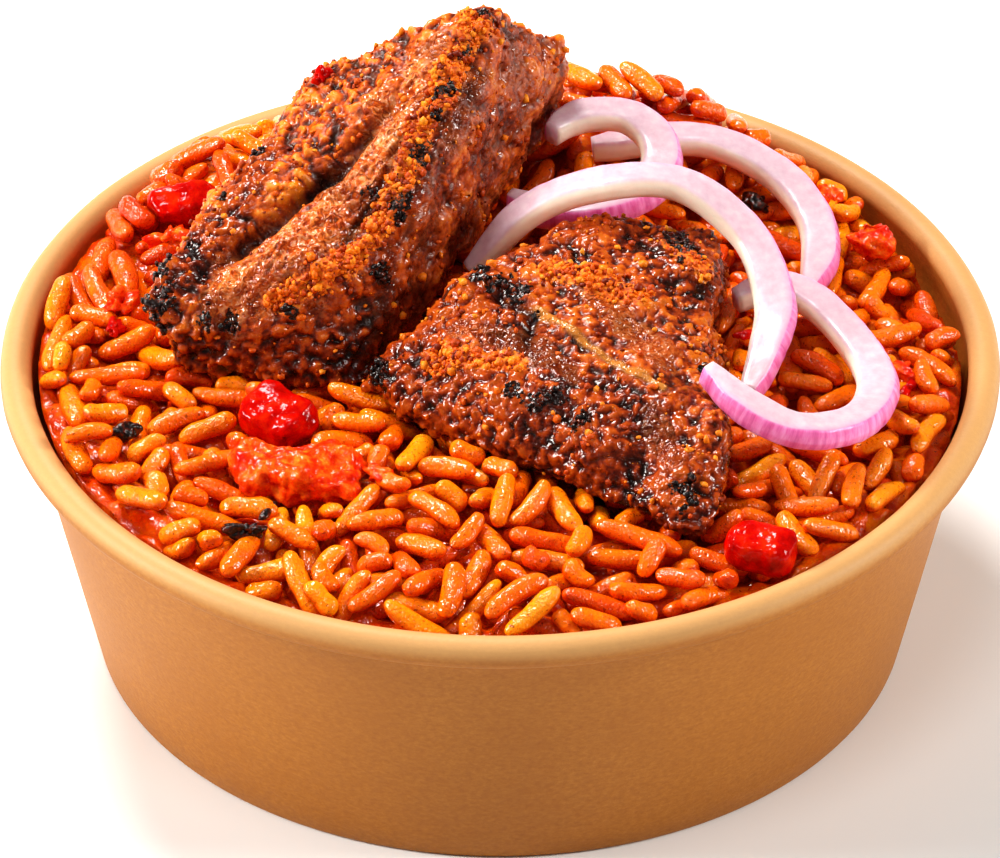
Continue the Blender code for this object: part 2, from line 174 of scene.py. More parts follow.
# Per chunk: char marks are (x, y, z, radius); spice, bare, dark and fat are lines with a width, dark being
# partly roast and partly painted shade on the front slopes; cracks are lines with a width and a depth; nudges
# are (x, y, z, radius, move); front is where the painted shade on the front face begins
MEATS = {
    "meat_large": {
        "fibre": (0.73, 0.56, 0.39),
        "cut_side": (0.88, -0.45, 0.13),
        "char": (
            (-2.3, 32.4, 87.8, 1.6), (-5.5, 26.1, 85.2, 1.8), (-7.8, 19.8, 82.5, 2.2), (-9.6, 15.7, 80, 1.7),
            (-11.8, 10.2, 76.9, 2.1), (-14.3, 3.8, 72.3, 2.4), (-18.9, 6, 73.3, 1.6),
            (-17.8, -2.9, 65.4, 2.3), (-50, -6.7, 62, 3.4), (-44, -7.8, 60.6, 2.4), (-39.5, -8.6, 59.9, 2.2),
            (-31.4, -7.7, 61.2, 1.6), (-50.5, -1.6, 64, 1.7), (-46, 2.3, 66.6, 1.5), (-41, 9, 69.4, 1.6),
            (-36, 17, 72.4, 1.5), (-15.2, -9.5, 57, 2.2),
        ),
        "spice": (
            (((-32, -7, 62.1), (-27.4, -5.2, 65.3), (-22.4, -3.5, 67.3), (-18.6, -0.5, 69.8),
              (-14.6, 7.2, 75), (-11.2, 14.6, 79.3), (-6.8, 23.5, 83.8), (-3.6, 30.5, 86.8)), 2.5),
        ),
        "bare": (
            (((-38.5, -6.5, 63.6), (-31.5, -3, 66.5), (-23.5, 3.8, 72), (-16, 12, 77.6),
              (-9.5, 22, 83)), 7.2),
        ),
        "dark": (
            (((-50, -5, 63), (-45, 1, 66), (-40, 7, 69), (-35, 16, 72)), 4),
            (((-14, -12, 53), (-30, -12, 55), (-46, -10, 55)), 6),
            (((-2.3, 32.4, 87.8), (-7.8, 19.8, 82.5), (-11.8, 10.2, 76.9), (-14.3, 3.8, 72.3),
              (-17.8, -2.9, 65.4), (-15.2, -9.5, 57)), 2.4),
        ),
        "cracks": (
            (((-44.5, -3.2, 64.2), (-34.5, 3.4, 68.7), (-22.6, 12.4, 75.2), (-14.8, 20.7, 79.9)), 1.4, 2.7),
            (((-24.5, -3, 67.5), (-19, 5, 72.5), (-14.5, 12.5, 78)), 0.8, 0.7),
        ),
        "fat": (),
        "nudges": ((-36, 21, 72, 7, 1.4, -1.2, -0.6), (-51, 0, 63, 4, -0.8, 0.6, 0.5)),
        "front": (0.45, 0.85),
        "grit": 1.0,
        "roast": 0.0,
        "crumbs": 1300,
        "burnt": 130,
    },
    "meat_small": {
        "fibre": (0.62, -0.74, -0.1),
        "cut_side": (0.3, -0.9, 0.1),
        "char": (
            (-3.6, -4.8, 65.2, 2), (0, -6.9, 65.2, 2.2), (3, -8.4, 64.5, 2.2), (5.2, -12.4, 63.7, 1.7),
            (2.9, -27, 60.3, 2.3), (5.6, -29.4, 60.1, 2.3), (8.1, -29.2, 60.6, 1.7), (26.1, 5.2, 65, 2.2),
            (28, 2.4, 64.7, 2.8), (29, -6.4, 63.4, 1.9), (-17, -16, 56, 2.6), (12, -33, 58.4, 1.8),
            (27, -45, 54.5, 3), (29.5, -22, 61, 1.6),
        ),
        "spice": (
            (((-9, -18, 59.6), (-2, -20.5, 61), (3, -21.5, 61.8)), 2.2),
            (((8, -3, 65.8), (15, -6, 65.2), (20, -9, 64.4)), 3),
            (((26, 3.5, 65.2), (30, -2, 64)), 2.2),
        ),
        "bare": (
            (((-6, -14, 61.5), (2, -17, 62.3), (10, -24, 62)), 2.6),
            (((14, -8, 65), (20, -16, 63.6), (24, -22, 62.6)), 3),
            (((22, -32, 61), (25, -40, 57.5)), 2.4),
        ),
        "dark": (
            (((-16, -13, 57.5), (-8, -9.5, 61.5), (-1, -10.5, 64), (4, -17, 62.8)), 3.6),
            (((3, -26, 60.5), (12, -31, 60), (21, -36, 58.5), (28, -46, 53)), 7),
            (((-14, -20, 56), (-2, -29, 56), (8, -36, 55), (20, -44, 53)), 8),
            (((28, 4, 65), (31, -6, 62)), 3),
        ),
        "cracks": (
            (((-3, -6.5, 65), (5.2, -12.6, 63.7), (3.5, -20, 62.3)), 1.2, 1.2),
            (((9, -14.4, 63.7), (17.2, -23.4, 62.4), (24.4, -29.4, 61.7)), 0.7, 0.5),
        ),
        "fat": ((((5.6, -11.5, 63.8), (11.5, -17.2, 63.4), (17.2, -23.1, 62.4), (23.9, -28.5, 61.9)), 0.85),),
        "nudges": (),
        "front": (0.12, 0.5),
        "grit": 0.58,
        "roast": 0.58,
        "crumbs": 900,
        "burnt": 120,
    },
}

# Red onion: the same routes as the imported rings, the middle of each cut face from end to end
ONION_WIDTH = 5.4
ONION_THICKNESS = 3.6
ONION_FLARE = 0.8  # how far the skin leans out below
ONION_END = 0.45  # how narrow a ring is at its very end, and the share of its length that narrows
ONION_END_LENGTH = 0.16
ONION_STEP = 0.6
CURVE_STEPS = 24
CORNER_CUTS = (0.16, 0.22, 0.25)  # share of each side that each pass cuts off to round the section
RINGS = {
    "onion_ring_a": (
        (7.9, 35.2, 65.4), (10.4, 38.2, 65.6), (14, 39.8, 65.8), (19.5, 39.4, 65.6), (23.4, 35.6, 64.4),
        (24, 29.8, 63.2), (20.6, 24.2, 62.2), (13.6, 21, 61.6), (6.4, 22, 61), (1.6, 24.6, 60.8),
    ),
    "onion_ring_b": (
        (14, 41.4, 58.4), (23.5, 42.6, 59.3), (33, 41.8, 59.2), (41.8, 37.2, 57), (47.2, 29, 54.9),
        (48.2, 20, 54), (46.4, 11.4, 53.2),
    ),
    "onion_ring_c": (
        (-5.2, 7.8, 58.4), (3.4, 10.8, 67.6), (14.5, 11, 72.6), (27, 12.6, 71.6), (37, 7, 66.2),
        (40.6, -3.6, 61.6), (39.2, -12.4, 58.8), (36.5, -20.3, 56.2),
    ),
    "onion_ring_d": (
        (35.2, 3.4, 56.9), (41.4, 6, 57.6), (47.4, 2.4, 56.8), (53.2, -6.6, 55.4), (55.7, -17.4, 55.9),
        (52.2, -28.6, 58), (44.2, -34, 60.4), (36.4, -32, 63.2), (30.8, -26.8, 65.2),
    ),
}

# Pepper and tomato
PEPPERS = ("pepper_front_left", "pepper_front_right", "pepper_back_left")
TOMATOES = ("tomato_back_right", "tomato_pulp")
SUNK = {"tomato_back_right": 0.8}  # how much deeper in the rice a bit lies
BIT_VOXEL = 0.35
BIT_PASSES = 3
# Scraps by piece and material slot: middle (x, y, z), length, width, height and turn in degrees of each
SCRAPS = {
    ("pepper_flecks", "red_pepper"): (
        (36.6, -3.2, 53.6, 3, 2, 1.6, 30), (-27, 29, 78.2, 3.4, 2.4, 2.2, 40),
        (60.8, -10, 48.6, 3.2, 2, 1.6, 60), (-58, 2, 51, 3.6, 2, 1.6, 70), (22, 52, 57, 3, 2, 1.6, 20),
    ),
    ("crushed_tomato", "tomato"): (
        (57, 30, 47, 5, 3.6, 2.6, 30), (60, -6, 49, 4.2, 3, 2.2, 120), (-57, 8, 51.4, 5.5, 3.4, 2.6, 60),
        (-50, 25, 51.6, 5, 4, 2.6, 20), (-18, -36, 51.8, 4, 3, 2.4, 150), (50, 40, 48.5, 4.5, 3.2, 2.4, 80),
    ),
    ("burnt_scraps", "grilled_meat"): (
        (-37.2, -48.3, 50.6, 5, 2.8, 2.4, 5), (-55.2, -23.2, 50.6, 4.2, 2.2, 2, 30),
        (39.2, 33.9, 51.6, 4.6, 2.6, 2, 150), (-33.5, -43, 50.6, 3.4, 1.3, 1.2, 60),
    ),
}


# ---------------- patterns

def lattice(cell, seed):
    """A repeatable number from 0 to 1 for each whole-numbered point."""
    x, y, z = (cell[..., axis].astype(np.uint32) for axis in range(3))
    value = x * np.uint32(0x8DA6B343) ^ y * np.uint32(0xD8163841) ^ z * np.uint32(0xCB1AB31F)
    value ^= np.uint32(seed * 0x9E3779B1 & 0xFFFFFFFF)
    for shift, factor in ((15, 0x2C1B3C6D), (12, 0x297A2D39), (15, 1)):
        value ^= value >> np.uint32(shift)
        value *= np.uint32(factor)
    return value / 0xFFFFFFFF


def noise(points, size, seed=0):
    """Smooth noise from -1 to 1 with features of a size."""
    place = np.asarray(points, float) / size
    cell = np.floor(place)
    part = place - cell
    part = part ** 3 * (part * (part * 6 - 15) + 10)
    cell = cell.astype(np.int64)
    total = 0.0
    for corner in np.ndindex(2, 2, 2):
        weight = np.prod(np.where(corner, part, 1 - part), axis=-1)
        total = total + weight * lattice(cell + corner, seed)
    return 2 * total - 1


def rough_noise(points, size, seed, layers=3):
    """Layers of noise, each half as large and half as strong as the one before."""
    return sum(noise(points, size / 2 ** step, seed + step) / 2 ** step for step in range(layers))


def drift(points, size, seed):
    """A noisy vector at each point, which makes a pattern wander when it is added to the points."""
    return np.stack([noise(points, size, seed + axis) for axis in range(3)], axis=-1)


def lumps(points, size, seed):
    """Distance to the nearest of scattered points as a share of their spacing: 0 in the middle of a lump."""
    place = np.asarray(points, float) / size
    cell = np.floor(place).astype(np.int64)
    nearest = np.full(place.shape[:-1], 9.0)
    for step in np.ndindex(3, 3, 3):
        corner = cell + np.array(step) - 1
        shift = np.stack([lattice(corner, seed + axis) for axis in range(3)], axis=-1)
        nearest = np.minimum(nearest, np.linalg.norm(place - corner - 0.1 - 0.8 * shift, axis=-1))
    return nearest


def smooth_step(value, low, high):
    share = np.clip((value - low) / (high - low), 0, 1)
    return share * share * (3 - 2 * share)


def along_line(points, line):
    """Distance from each point to a bent line, and how far along it the nearest place is, from 0 to 1."""
    line = np.asarray(line, float)
    lengths = np.linalg.norm(np.diff(line, axis=0), axis=1)
    starts = np.concatenate([[0], np.cumsum(lengths)])
    best = np.full(len(points), np.inf)
    share = np.zeros(len(points))
    for start, end, length, before in zip(line, line[1:], lengths, starts):
        part = np.clip((points - start) @ (end - start) / length ** 2, 0, 1)
        away = np.linalg.norm(points - start - part[:, None] * (end - start), axis=1)
        closer = away < best
        best[closer] = away[closer]
        share[closer] = (before + part[closer] * length) / starts[-1]
    return best, share


# ---------------- materials

class Layer:
    """A value or colour that varies over a surface. Sums and products of layers become Math nodes."""

    def __init__(self, surface, socket):
        self.surface = surface
        self.socket = socket

    def math(self, operation, first, second):
        return self.surface.node("ShaderNodeMath", 0, {0: first, 1: second}, operation=operation)

    def __add__(self, other):
        return self.math("ADD", self, other)

    def __mul__(self, other):
        return self.math("MULTIPLY", self, other)

    __rmul__ = __mul__

    def __rsub__(self, other):
        return self.math("SUBTRACT", other, self)

    def or_higher(self, other):
        return self.math("MAXIMUM", self, other)

    def step(self, low, high, to_low=0.0, to_high=1.0):
        """Goes smoothly from to_low to to_high while this layer goes from low to high."""
        inputs = {"Value": self, "From Min": low, "From Max": high, "To Min": to_low, "To Max": to_high}
        return self.surface.node("ShaderNodeMapRange", 0, inputs, interpolation_type="SMOOTHSTEP")

    def ramp(self, *stops):
        """Colours along this layer, each stop its position and then its red, green and blue, 0 to 255."""
        ramp = self.surface.node("ShaderNodeValToRGB", "Color", {"Fac": self})
        band = ramp.socket.node.color_ramp.elements
        while len(band) < len(stops):
            band.new(0.5)
        for element, (position, *channels) in zip(band, stops):
            element.position = position
            element.color = linear(channels)
        return ramp

    def over(self, below, above):
        """One colour over another, where this layer is how much of the upper one shows."""
        return self.surface.node("ShaderNodeMix", 2, {0: self, 6: below, 7: above}, data_type="RGBA")


class Surface:
    """One material: its nodes, built round a Principled shader. Its glow is how much light passes through its
    skin, how many metres deep, and the share of red, green and blue that does."""

    def __init__(self, name, glow=None, **plain):
        self.material = bpy.data.materials.new(name)
        self.material.use_nodes = True
        self.tree = self.material.node_tree
        self.shader = self.tree.nodes["Principled BSDF"]
        if glow:
            plain.update(zip(("Subsurface Weight", "Subsurface Scale", "Subsurface Radius"), glow))
        for socket, value in plain.items():
            self.set(socket.replace("_", " "), value)

    def set(self, socket, value):
        self.feed(self.shader.inputs[socket], value)

    def feed(self, socket, value):
        if isinstance(value, Layer):
            self.tree.links.new(value.socket, socket)
        elif socket.type == "RGBA":
            socket.default_value = linear(value)
        else:
            socket.default_value = value

    def node(self, kind, output, inputs, **settings):
        """One output of a new node, as a layer."""
        node = self.tree.nodes.new(kind)
        for name, value in settings.items():
            setattr(node, name, value)
        for name, value in inputs.items():
            self.feed(node.inputs[name], value)
        return Layer(self, node.outputs[output])

    def place(self, stretch):
        """The object's own coordinates, which are metres in the frame, stretched along its axes."""
        coordinates = self.node("ShaderNodeTexCoord", "Object", {})
        if stretch == (1, 1, 1):
            return coordinates
        scale = tuple(1 / value for value in stretch)
        return self.node("ShaderNodeMapping", 0, {"Vector": coordinates, "Scale": scale})

    def noise(self, size, detail=2.0, rough=0.5, stretch=(1, 1, 1), twist=0.0):
        inputs = {"Vector": self.place(stretch), "Scale": 1 / (size * MM), "Detail": detail,
                  "Roughness": rough, "Distortion": twist}
        return self.node("ShaderNodeTexNoise", "Fac", inputs)

    def value(self, name):
        """A layer that the mesh itself carries under this name."""
        return self.node("ShaderNodeAttribute", "Fac", {}, attribute_name=name)

    def painted(self, colour, *heights):
        """This surface with its colour and with fine relief from (layer, depth) pairs, the lowest first."""
        self.set("Base Color", colour)
        inputs = {}
        for height, depth in heights:
            inputs.update({"Height": height, "Distance": depth * MM, "Strength": 1.0})
            inputs["Normal"] = self.node("ShaderNodeBump", 0, inputs)
        self.set("Normal", inputs["Normal"])
        return self


def linear(channels):
    """A screen colour, 0 to 255, as the linear colour that Blender's nodes take."""
    shares = [value / 255 for value in channels]
    dark = 0.04045
    return *(share / 12.92 if share <= dark else ((share + 0.055) / 1.055) ** 2.4 for share in shares), 1.0


# ---------------- meshes

def mesh_object(name, points, faces, surface, **attributes):
    """A smooth-shaded object of points in millimetres and triangles."""
    faces = np.ascontiguousarray(faces, np.int32)
    mesh = bpy.data.meshes.new(name)
    mesh.vertices.add(len(points))
    mesh.vertices.foreach_set("co", (np.asarray(points, float) * MM).ravel())
    mesh.loops.add(faces.size)
    mesh.loops.foreach_set("vertex_index", faces.ravel())
    mesh.polygons.add(len(faces))
    mesh.polygons.foreach_set("loop_start", np.arange(0, faces.size, faces.shape[1], dtype=np.int32))
    mesh.update(calc_edges=True)
    return placed(name, mesh, surface, attributes)


def placed(name, mesh, surface, attributes):
    mesh.materials.clear()
    mesh.materials.append(surface.material)
    mesh.shade_smooth()
    for key, values in attributes.items():
        layer = mesh.attributes.new(key, "FLOAT", "POINT")
        layer.data.foreach_set("value", np.ascontiguousarray(values, np.float32).ravel())
    return linked(name, mesh)


def linked(name, data):
    """A new object of some data, in the scene."""
    obj = bpy.data.objects.new(name, data)
    bpy.context.scene.collection.objects.link(obj)
    return obj


def read_points(mesh):
    """The mesh's points in millimetres, and its normals there."""
    points, normals = np.zeros((2, len(mesh.vertices) * 3))
    mesh.vertices.foreach_get("co", points)
    mesh.vertices.foreach_get("normal", normals)
    return points.reshape(-1, 3) / MM, normals.reshape(-1, 3)


def write_points(mesh, points):
    mesh.vertices.foreach_set("co", (points * MM).ravel())
    mesh.update()


def finish_piece(obj, slot, *nodes):
    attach(obj, "root")
    if nodes:
        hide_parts(*nodes)


def circle(count):
    """The cosine and sine of evenly spread angles."""
    angles = math.tau * np.arange(count) / count
    return np.cos(angles), np.sin(angles)


def tube_faces(rings, sides):
    """Triangles of a tube: its rings of points, then the middles that close its first ring and its last."""
    around = np.arange(sides)
    after = (around + 1) % sides
    starts = np.arange(rings - 1)[:, None] * sides
    quads = [starts + around, starts + after, starts + sides + after, starts + sides + around]
    quads = np.stack(quads, axis=-1).reshape(-1, 4)
    middle = rings * sides
    last = middle - sides
    first_cap = np.stack([around, np.full(sides, middle), after], axis=-1)
    last_cap = np.stack([last + after, np.full(sides, middle + 1), last + around], axis=-1)
    return np.concatenate([quads[:, [0, 1, 2]], quads[:, [0, 2, 3]], first_cap, last_cap])


def copies(faces, count, size):
    """The triangles of many pieces of one mesh, each of a size in points, laid one after another."""
    return (faces[None] + (np.arange(count) * size)[:, None, None]).reshape(-1, 3)


# ---------------- bowl

def wall_radius(height, wall_top):
    return BASE_RADIUS + (WALL_TOP_RADIUS - BASE_RADIUS) * height / wall_top


def bowl_profile(rim_radius, height):
    """Half section of the bowl from the axis inside, over the rolled rim, down outside, under the base."""
    bead_radius = rim_radius - BEAD_RADIUS
    bead_height = height - BEAD_RADIUS
    wall_top = bead_height - BEAD_RADIUS
    floor = FOOT_DEPTH + PAPER
    foot = BASE_RADIUS - BOTTOM_EDGE
    points = [(radius, floor) for radius in reversed(BASE_RINGS)]
    points.append((wall_radius(floor, wall_top) - 2 * PAPER, floor))
    for level in np.linspace(floor + 1, wall_top - PAPER, WALL_STEPS):
        points.append((wall_radius(level, wall_top) - PAPER, level))
    for angle in np.radians(np.linspace(180, BEAD_END, BEAD_STEPS)):
        outward, up = BEAD_RADIUS * math.cos(angle), BEAD_RADIUS * math.sin(angle)
        points.append((bead_radius + outward, bead_height + up))
    points.append((wall_radius(wall_top, wall_top) + 0.25, wall_top + 0.1))
    for level in np.linspace(wall_top - 0.4, BOTTOM_EDGE, WALL_STEPS):
        points.append((wall_radius(level, wall_top), level))
    points += [(BASE_RADIUS - 0.2, 0.2), (foot, 0), (foot - FOOT_WIDTH, 0)]
    points.append((foot - FOOT_WIDTH - PAPER, FOOT_DEPTH))
    return np.array(points + [(radius, FOOT_DEPTH) for radius in BASE_RINGS])


def kraft_surface():
    surface = Surface("kraft paper", Roughness=0.5, Specular_IOR_Level=0.3)
    fibres = surface.noise(1.0, detail=6, rough=0.7, stretch=(1, 1, 0.6))
    clouds = surface.noise(14, detail=3).step(0.35, 0.7, 0, 0.35)
    specks = surface.noise(0.42, detail=3, rough=0.7).step(0.62, 0.72)
    board = fibres.ramp((0.3, 158, 95, 29), (0.52, 171, 108, 36), (0.75, 184, 123, 48))
    board = clouds.over(board, (162, 99, 32))
    board = (0.3 * specks).over(board, (140, 84, 36))
    # Painted highlight: the rolled rim is painted paler, partly for its stretched paper and partly as the top
    # light makes it look
    board = (0.6 * surface.value("bead")).over(board, (226, 180, 124))
    return surface.painted(board, (fibres, 0.06))


def make_bowl():
    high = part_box("bowl")[1]
    rim_radius = high.x / MM
    height = high.z / MM
    profile = bowl_profile(rim_radius, height)
    ring = np.stack([*circle(BOWL_SECTORS), np.zeros(BOWL_SECTORS)], axis=-1)
    rings = []
    for radius, level in profile:
        bulge = math.sin(math.pi * min(1, level / height))
        wave = WALL_WAVE * noise(ring * WAVE_CIRCLE + (0, 0, level), WALL_WAVELENGTH) * bulge
        sag = RIM_WAVE * noise(ring * WAVE_CIRCLE, RIM_WAVELENGTH, 5)
        sag = sag * smooth_step(level, height - 6, height - 4)
        points = ring * (min(radius, rim_radius) - abs(wave) - abs(sag))[:, None]
        points[:, 2] = level - abs(sag)
        rings.append(points)
    points = np.concatenate(rings + [[[0, 0, profile[0][1]]], [[0, 0, profile[-1][1]]]])
    faces = tube_faces(len(profile), BOWL_SECTORS)[:, ::-1]
    # The rolled rim's share, where the board is painted paler: partly paler stretched paper, partly a painted
    # highlight
    bead = smooth_step(points[:, 2], height - 2.9, height - 1.0)
    obj = mesh_object("paper_bowl", points, faces, kraft_surface(), bead=bead)
    finish_piece(obj, "kraft_paper", "bowl")


# ---------------- height grid

def cell_of(values):
    """Grid index of a coordinate."""
    return np.clip(np.rint((values + HALF_SPAN) / CELL).astype(int), 0, GRID_SIDE - 1)


def ray_map(obj, downward):
    """Height of an object's top, or of its underside, over each cell of the grid; nan where there is none."""
    tree = BVHTree.FromObject(obj, bpy.context.evaluated_depsgraph_get())
    low, high = (np.array(corner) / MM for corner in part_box(obj.name))
    heights = np.full((GRID_SIDE, GRID_SIDE), np.nan)
    start = high[2] + 5 if downward else low[2] - 5
    direction = Vector((0, 0, -1 if downward else 1))
    for i in range(cell_of(low[0]), cell_of(high[0]) + 1):
        for j in range(cell_of(low[1]), cell_of(high[1]) + 1):
            hit = tree.ray_cast(Vector((GRID_AXIS[i], GRID_AXIS[j], start)) * MM, direction)[0]
            if hit:
                heights[i, j] = hit.z / MM
    return heights


def heap_maps(nodes):
    """The heap's top, the lowest thing above each cell, and where the meat hides the heap."""
    top = ray_map(nodes["rice"], True)
    ceiling = np.full(top.shape, np.nan)
    hidden = np.zeros(top.shape, bool)
    for name, node in nodes.items():
        if name in ("rice", "bowl"):
            continue
        under = ray_map(node, False)
        ceiling = np.fmin(ceiling, under)
        if name in MEATS:
            hidden |= ~np.isnan(under)
    radius = np.hypot(*np.meshgrid(GRID_AXIS, GRID_AXIS, indexing="ij"))
    left = LEFT_BANK * smooth_step(-GRID_AXIS[:, None], *LEFT_START)
    right = RIGHT_BANK * smooth_step(GRID_AXIS[:, None], *RIGHT_START)
    top = top + (left + right) * smooth_step(radius, *BANK)
    return top, np.where(np.isnan(ceiling), OPEN_AIR, ceiling), hidden


def inset(mask, cells):
    """The mask without the cells near its edge."""
    for _ in range(cells):
        padded = np.pad(mask, 1)
        mask = mask & padded[2:, 1:-1] & padded[:-2, 1:-1] & padded[1:-1, 2:] & padded[1:-1, :-2]
    return mask


# ---------------- grains

def grain_profile(share):
    """Half width of a grain at a share of its half length, as a share of its half width."""
    return np.clip(1 - np.abs(share) ** GRAIN_BLUNTNESS, 0, 1) ** (1 / GRAIN_ROUNDNESS)


def lay_grains(top, ceiling, hidden, rng):
    """Drops grains one by one onto the lowest open places: x, y, z, yaw, slope, length and width of each."""
    height = np.where(np.isnan(top), 0, top) - CORE_DEPTH
    allowed = ~np.isnan(top) & ~inset(hidden, round(UNDER_MEAT / CELL))
    share = np.linspace(-SUPPORT_SPAN, SUPPORT_SPAN, SUPPORTS)
    half = grain_profile(share)
    across = np.linspace(-FOOTPRINT_SPAN, FOOTPRINT_SPAN, FOOTPRINT)
    middle = SUPPORTS // 2
    laid = []
    misses = 0
    while misses < GIVE_UP:
        if len(laid) % RECOUNT == 0 or misses % RECOUNT == RECOUNT - 1:
            open_cells = np.argwhere(allowed & (top - height > OPEN_DEPTH))
            if len(open_cells) == 0:
                break
        length = GRAIN_LENGTH * rng.normal(1, LENGTH_SPREAD)
        if rng.random() < BROKEN_SHARE:
            length *= rng.uniform(*BROKEN_LENGTH)
        width = GRAIN_WIDTH * rng.normal(1, WIDTH_SPREAD)
        picked = open_cells[rng.integers(len(open_cells), size=GRAIN_TRIES)]
        spot = GRID_AXIS[picked] + rng.uniform(-TRY_OFFSET, TRY_OFFSET, picked.shape)
        yaw = rng.uniform(0, math.pi, GRAIN_TRIES)
        ahead = np.stack([np.cos(yaw), np.sin(yaw)], axis=-1)
        side = np.stack([-ahead[:, 1], ahead[:, 0]], axis=-1)
        run = share * length / 2
        spread = across[None, :] * half[:, None] * width / 2
        places = (spot[:, None, None] + ahead[:, None, None] * run[None, :, None, None]
                  + side[:, None, None] * spread[None, :, :, None])
        i, j = cell_of(places[..., 0]), cell_of(places[..., 1])

        # Each try's lowest rest on what lies below it, and whether it fits there
        thick = half[:, None] * np.sqrt(1 - across[None, :] ** 2) * width * GRAIN_FLATNESS / 2
        slope, level = resting_line((height[i, j] + thick[None]).max(axis=2), run, middle)
        crest = level[:, None] + slope[:, None] * run[None] + half[None] * width * GRAIN_FLATNESS / 2
        proud = crest - np.nanmin(top[i, j], axis=2, initial=OPEN_AIR)
        bad = (ceiling[i, j].min(axis=2) < crest - PRESS).any(axis=1)
        bad |= (np.hypot(places[..., 0], places[..., 1]) > GRAIN_REACH).any(axis=(1, 2))
        bad |= (proud[:, middle] > PROUD_MIDDLE) | (proud.max(axis=1) > PROUD_END)
        bad |= np.abs(slope) > STEEPEST
        score = level - top[picked[:, 0], picked[:, 1]] + rng.normal(0, CHOICE_SPREAD, GRAIN_TRIES)
        best = int(np.argmin(np.where(bad, np.inf, score)))
        if bad[best]:
            misses += 1
            continue
        misses = 0
        laid.append((*spot[best], level[best], yaw[best], slope[best], length, width))
        raise_heap(height, laid[-1])
    return np.array(laid)


def resting_line(rest, places, middle):
    """The lowest straight axis, by slope and height at its middle, that clears every support point."""
    left = np.arange(middle)
    right = np.arange(middle + 1, len(places))
    run = places[right][None, :] - places[left][:, None]
    rise = rest[:, right][:, None, :] - rest[:, left][:, :, None]
    slopes = rise / run
    levels = rest[:, left][:, :, None] - slopes * places[left][None, :, None]
    flat = levels.reshape(len(rest), -1)
    best = flat.argmax(axis=1)
    rows = np.arange(len(rest))
    slope = slopes.reshape(len(rest), -1)[rows, best]
    return slope, np.maximum(flat[rows, best], rest[:, middle])


def raise_heap(height, grain):
    """Adds a laid grain to the height grid."""
    x, y, level, yaw, slope, length, width = grain
    reach = length / 2 + CELL
    i = np.arange(cell_of(x - reach), cell_of(x + reach) + 1)
    j = np.arange(cell_of(y - reach), cell_of(y + reach) + 1)
    dx = GRID_AXIS[i][:, None] - x
    dy = GRID_AXIS[j][None, :] - y
    along = dx * math.cos(yaw) + dy * math.sin(yaw)
    aside = dy * math.cos(yaw) - dx * math.sin(yaw)
    half = grain_profile(np.clip(2 * along / length, -1, 1)) * width / 2
    inside = np.abs(aside) < half
    crest = level + slope * along + GRAIN_FLATNESS * np.sqrt(np.clip(half ** 2 - aside ** 2, 0, None))
    block = height[i[0]:i[-1] + 1, j[0]:j[-1] + 1]
    block[inside] = np.maximum(block[inside], crest[inside])


def grain_points(laid, rng):
    """Every grain's rings and two tips, bent, creased and lumpy, and how far up its side each point is."""
    count = len(laid)
    x, y, level, yaw, slope, length, width = laid.T[:, :, None]
    spine = np.sin(np.linspace(-1, 1, GRAIN_RINGS + 2)[1:-1] * math.pi / 2)[None, :, None]
    turn = (math.tau * np.arange(GRAIN_SIDES) / GRAIN_SIDES)[None, None, :]

    def each(low, high):
        return rng.uniform(low, high, (count, 1, 1))

    radius = grain_profile(spine) * width[..., None] / 2
    radius = radius * (1 + each(-0.09, 0.09) * spine)
    radius = radius * (1 + each(0.01, 0.06) * np.sin(each(3, 7) * spine + each(0, 6)))
    crease = each(0, 0.16)
    from_crease = np.mod(turn - each(0, 6), math.tau) - math.pi
    radius = radius * (1 - crease * np.exp(-(from_crease / 0.4) ** 2))
    radius = radius * (1 + each(0.01, 0.05) * np.sin(3 * turn + each(2, 6) * spine + each(0, 6)))
    ahead = spine * length[..., None] / 2
    straight = np.broadcast_arrays(ahead, radius * np.cos(turn), radius * np.sin(turn))
    local = np.stack([each(0, 900) + part for part in straight], axis=-1)
    radius = radius * (1 + 0.07 * noise(local, 1.9, 41) + 0.03 * noise(local, 1.0, 42))
    bend = each(-0.75, 0.75) * (spine ** 2 - 0.3)
    lift = each(-0.35, 0.35) * (spine ** 2 - 0.3)

    rings = (ahead, radius * np.cos(turn) + bend, GRAIN_FLATNESS * radius * np.sin(turn) + lift)
    tips = (np.array([-1.0, 1.0])[None, :, None] * length[..., None] / 2, bend[:, [0, -1]], lift[:, [0, -1]])
    ends = [np.stack(np.broadcast_arrays(*parts), axis=-1).reshape(count, -1, 3) for parts in (rings, tips)]
    ahead, aside, up = np.moveaxis(np.concatenate(ends, axis=1), -1, 0)
    pitch = np.arctan(slope)
    run = ahead * np.cos(pitch) - up * np.sin(pitch)
    rise = ahead * np.sin(pitch) + up * np.cos(pitch)
    points = np.stack([x + run * np.cos(yaw) - aside * np.sin(yaw),
                       y + run * np.sin(yaw) + aside * np.cos(yaw), level + rise], axis=-1)
    flank = np.tile(np.concatenate([np.tile(np.sin(turn[0, 0]), GRAIN_RINGS), [0, 0]]), (count, 1))
    return points, flank


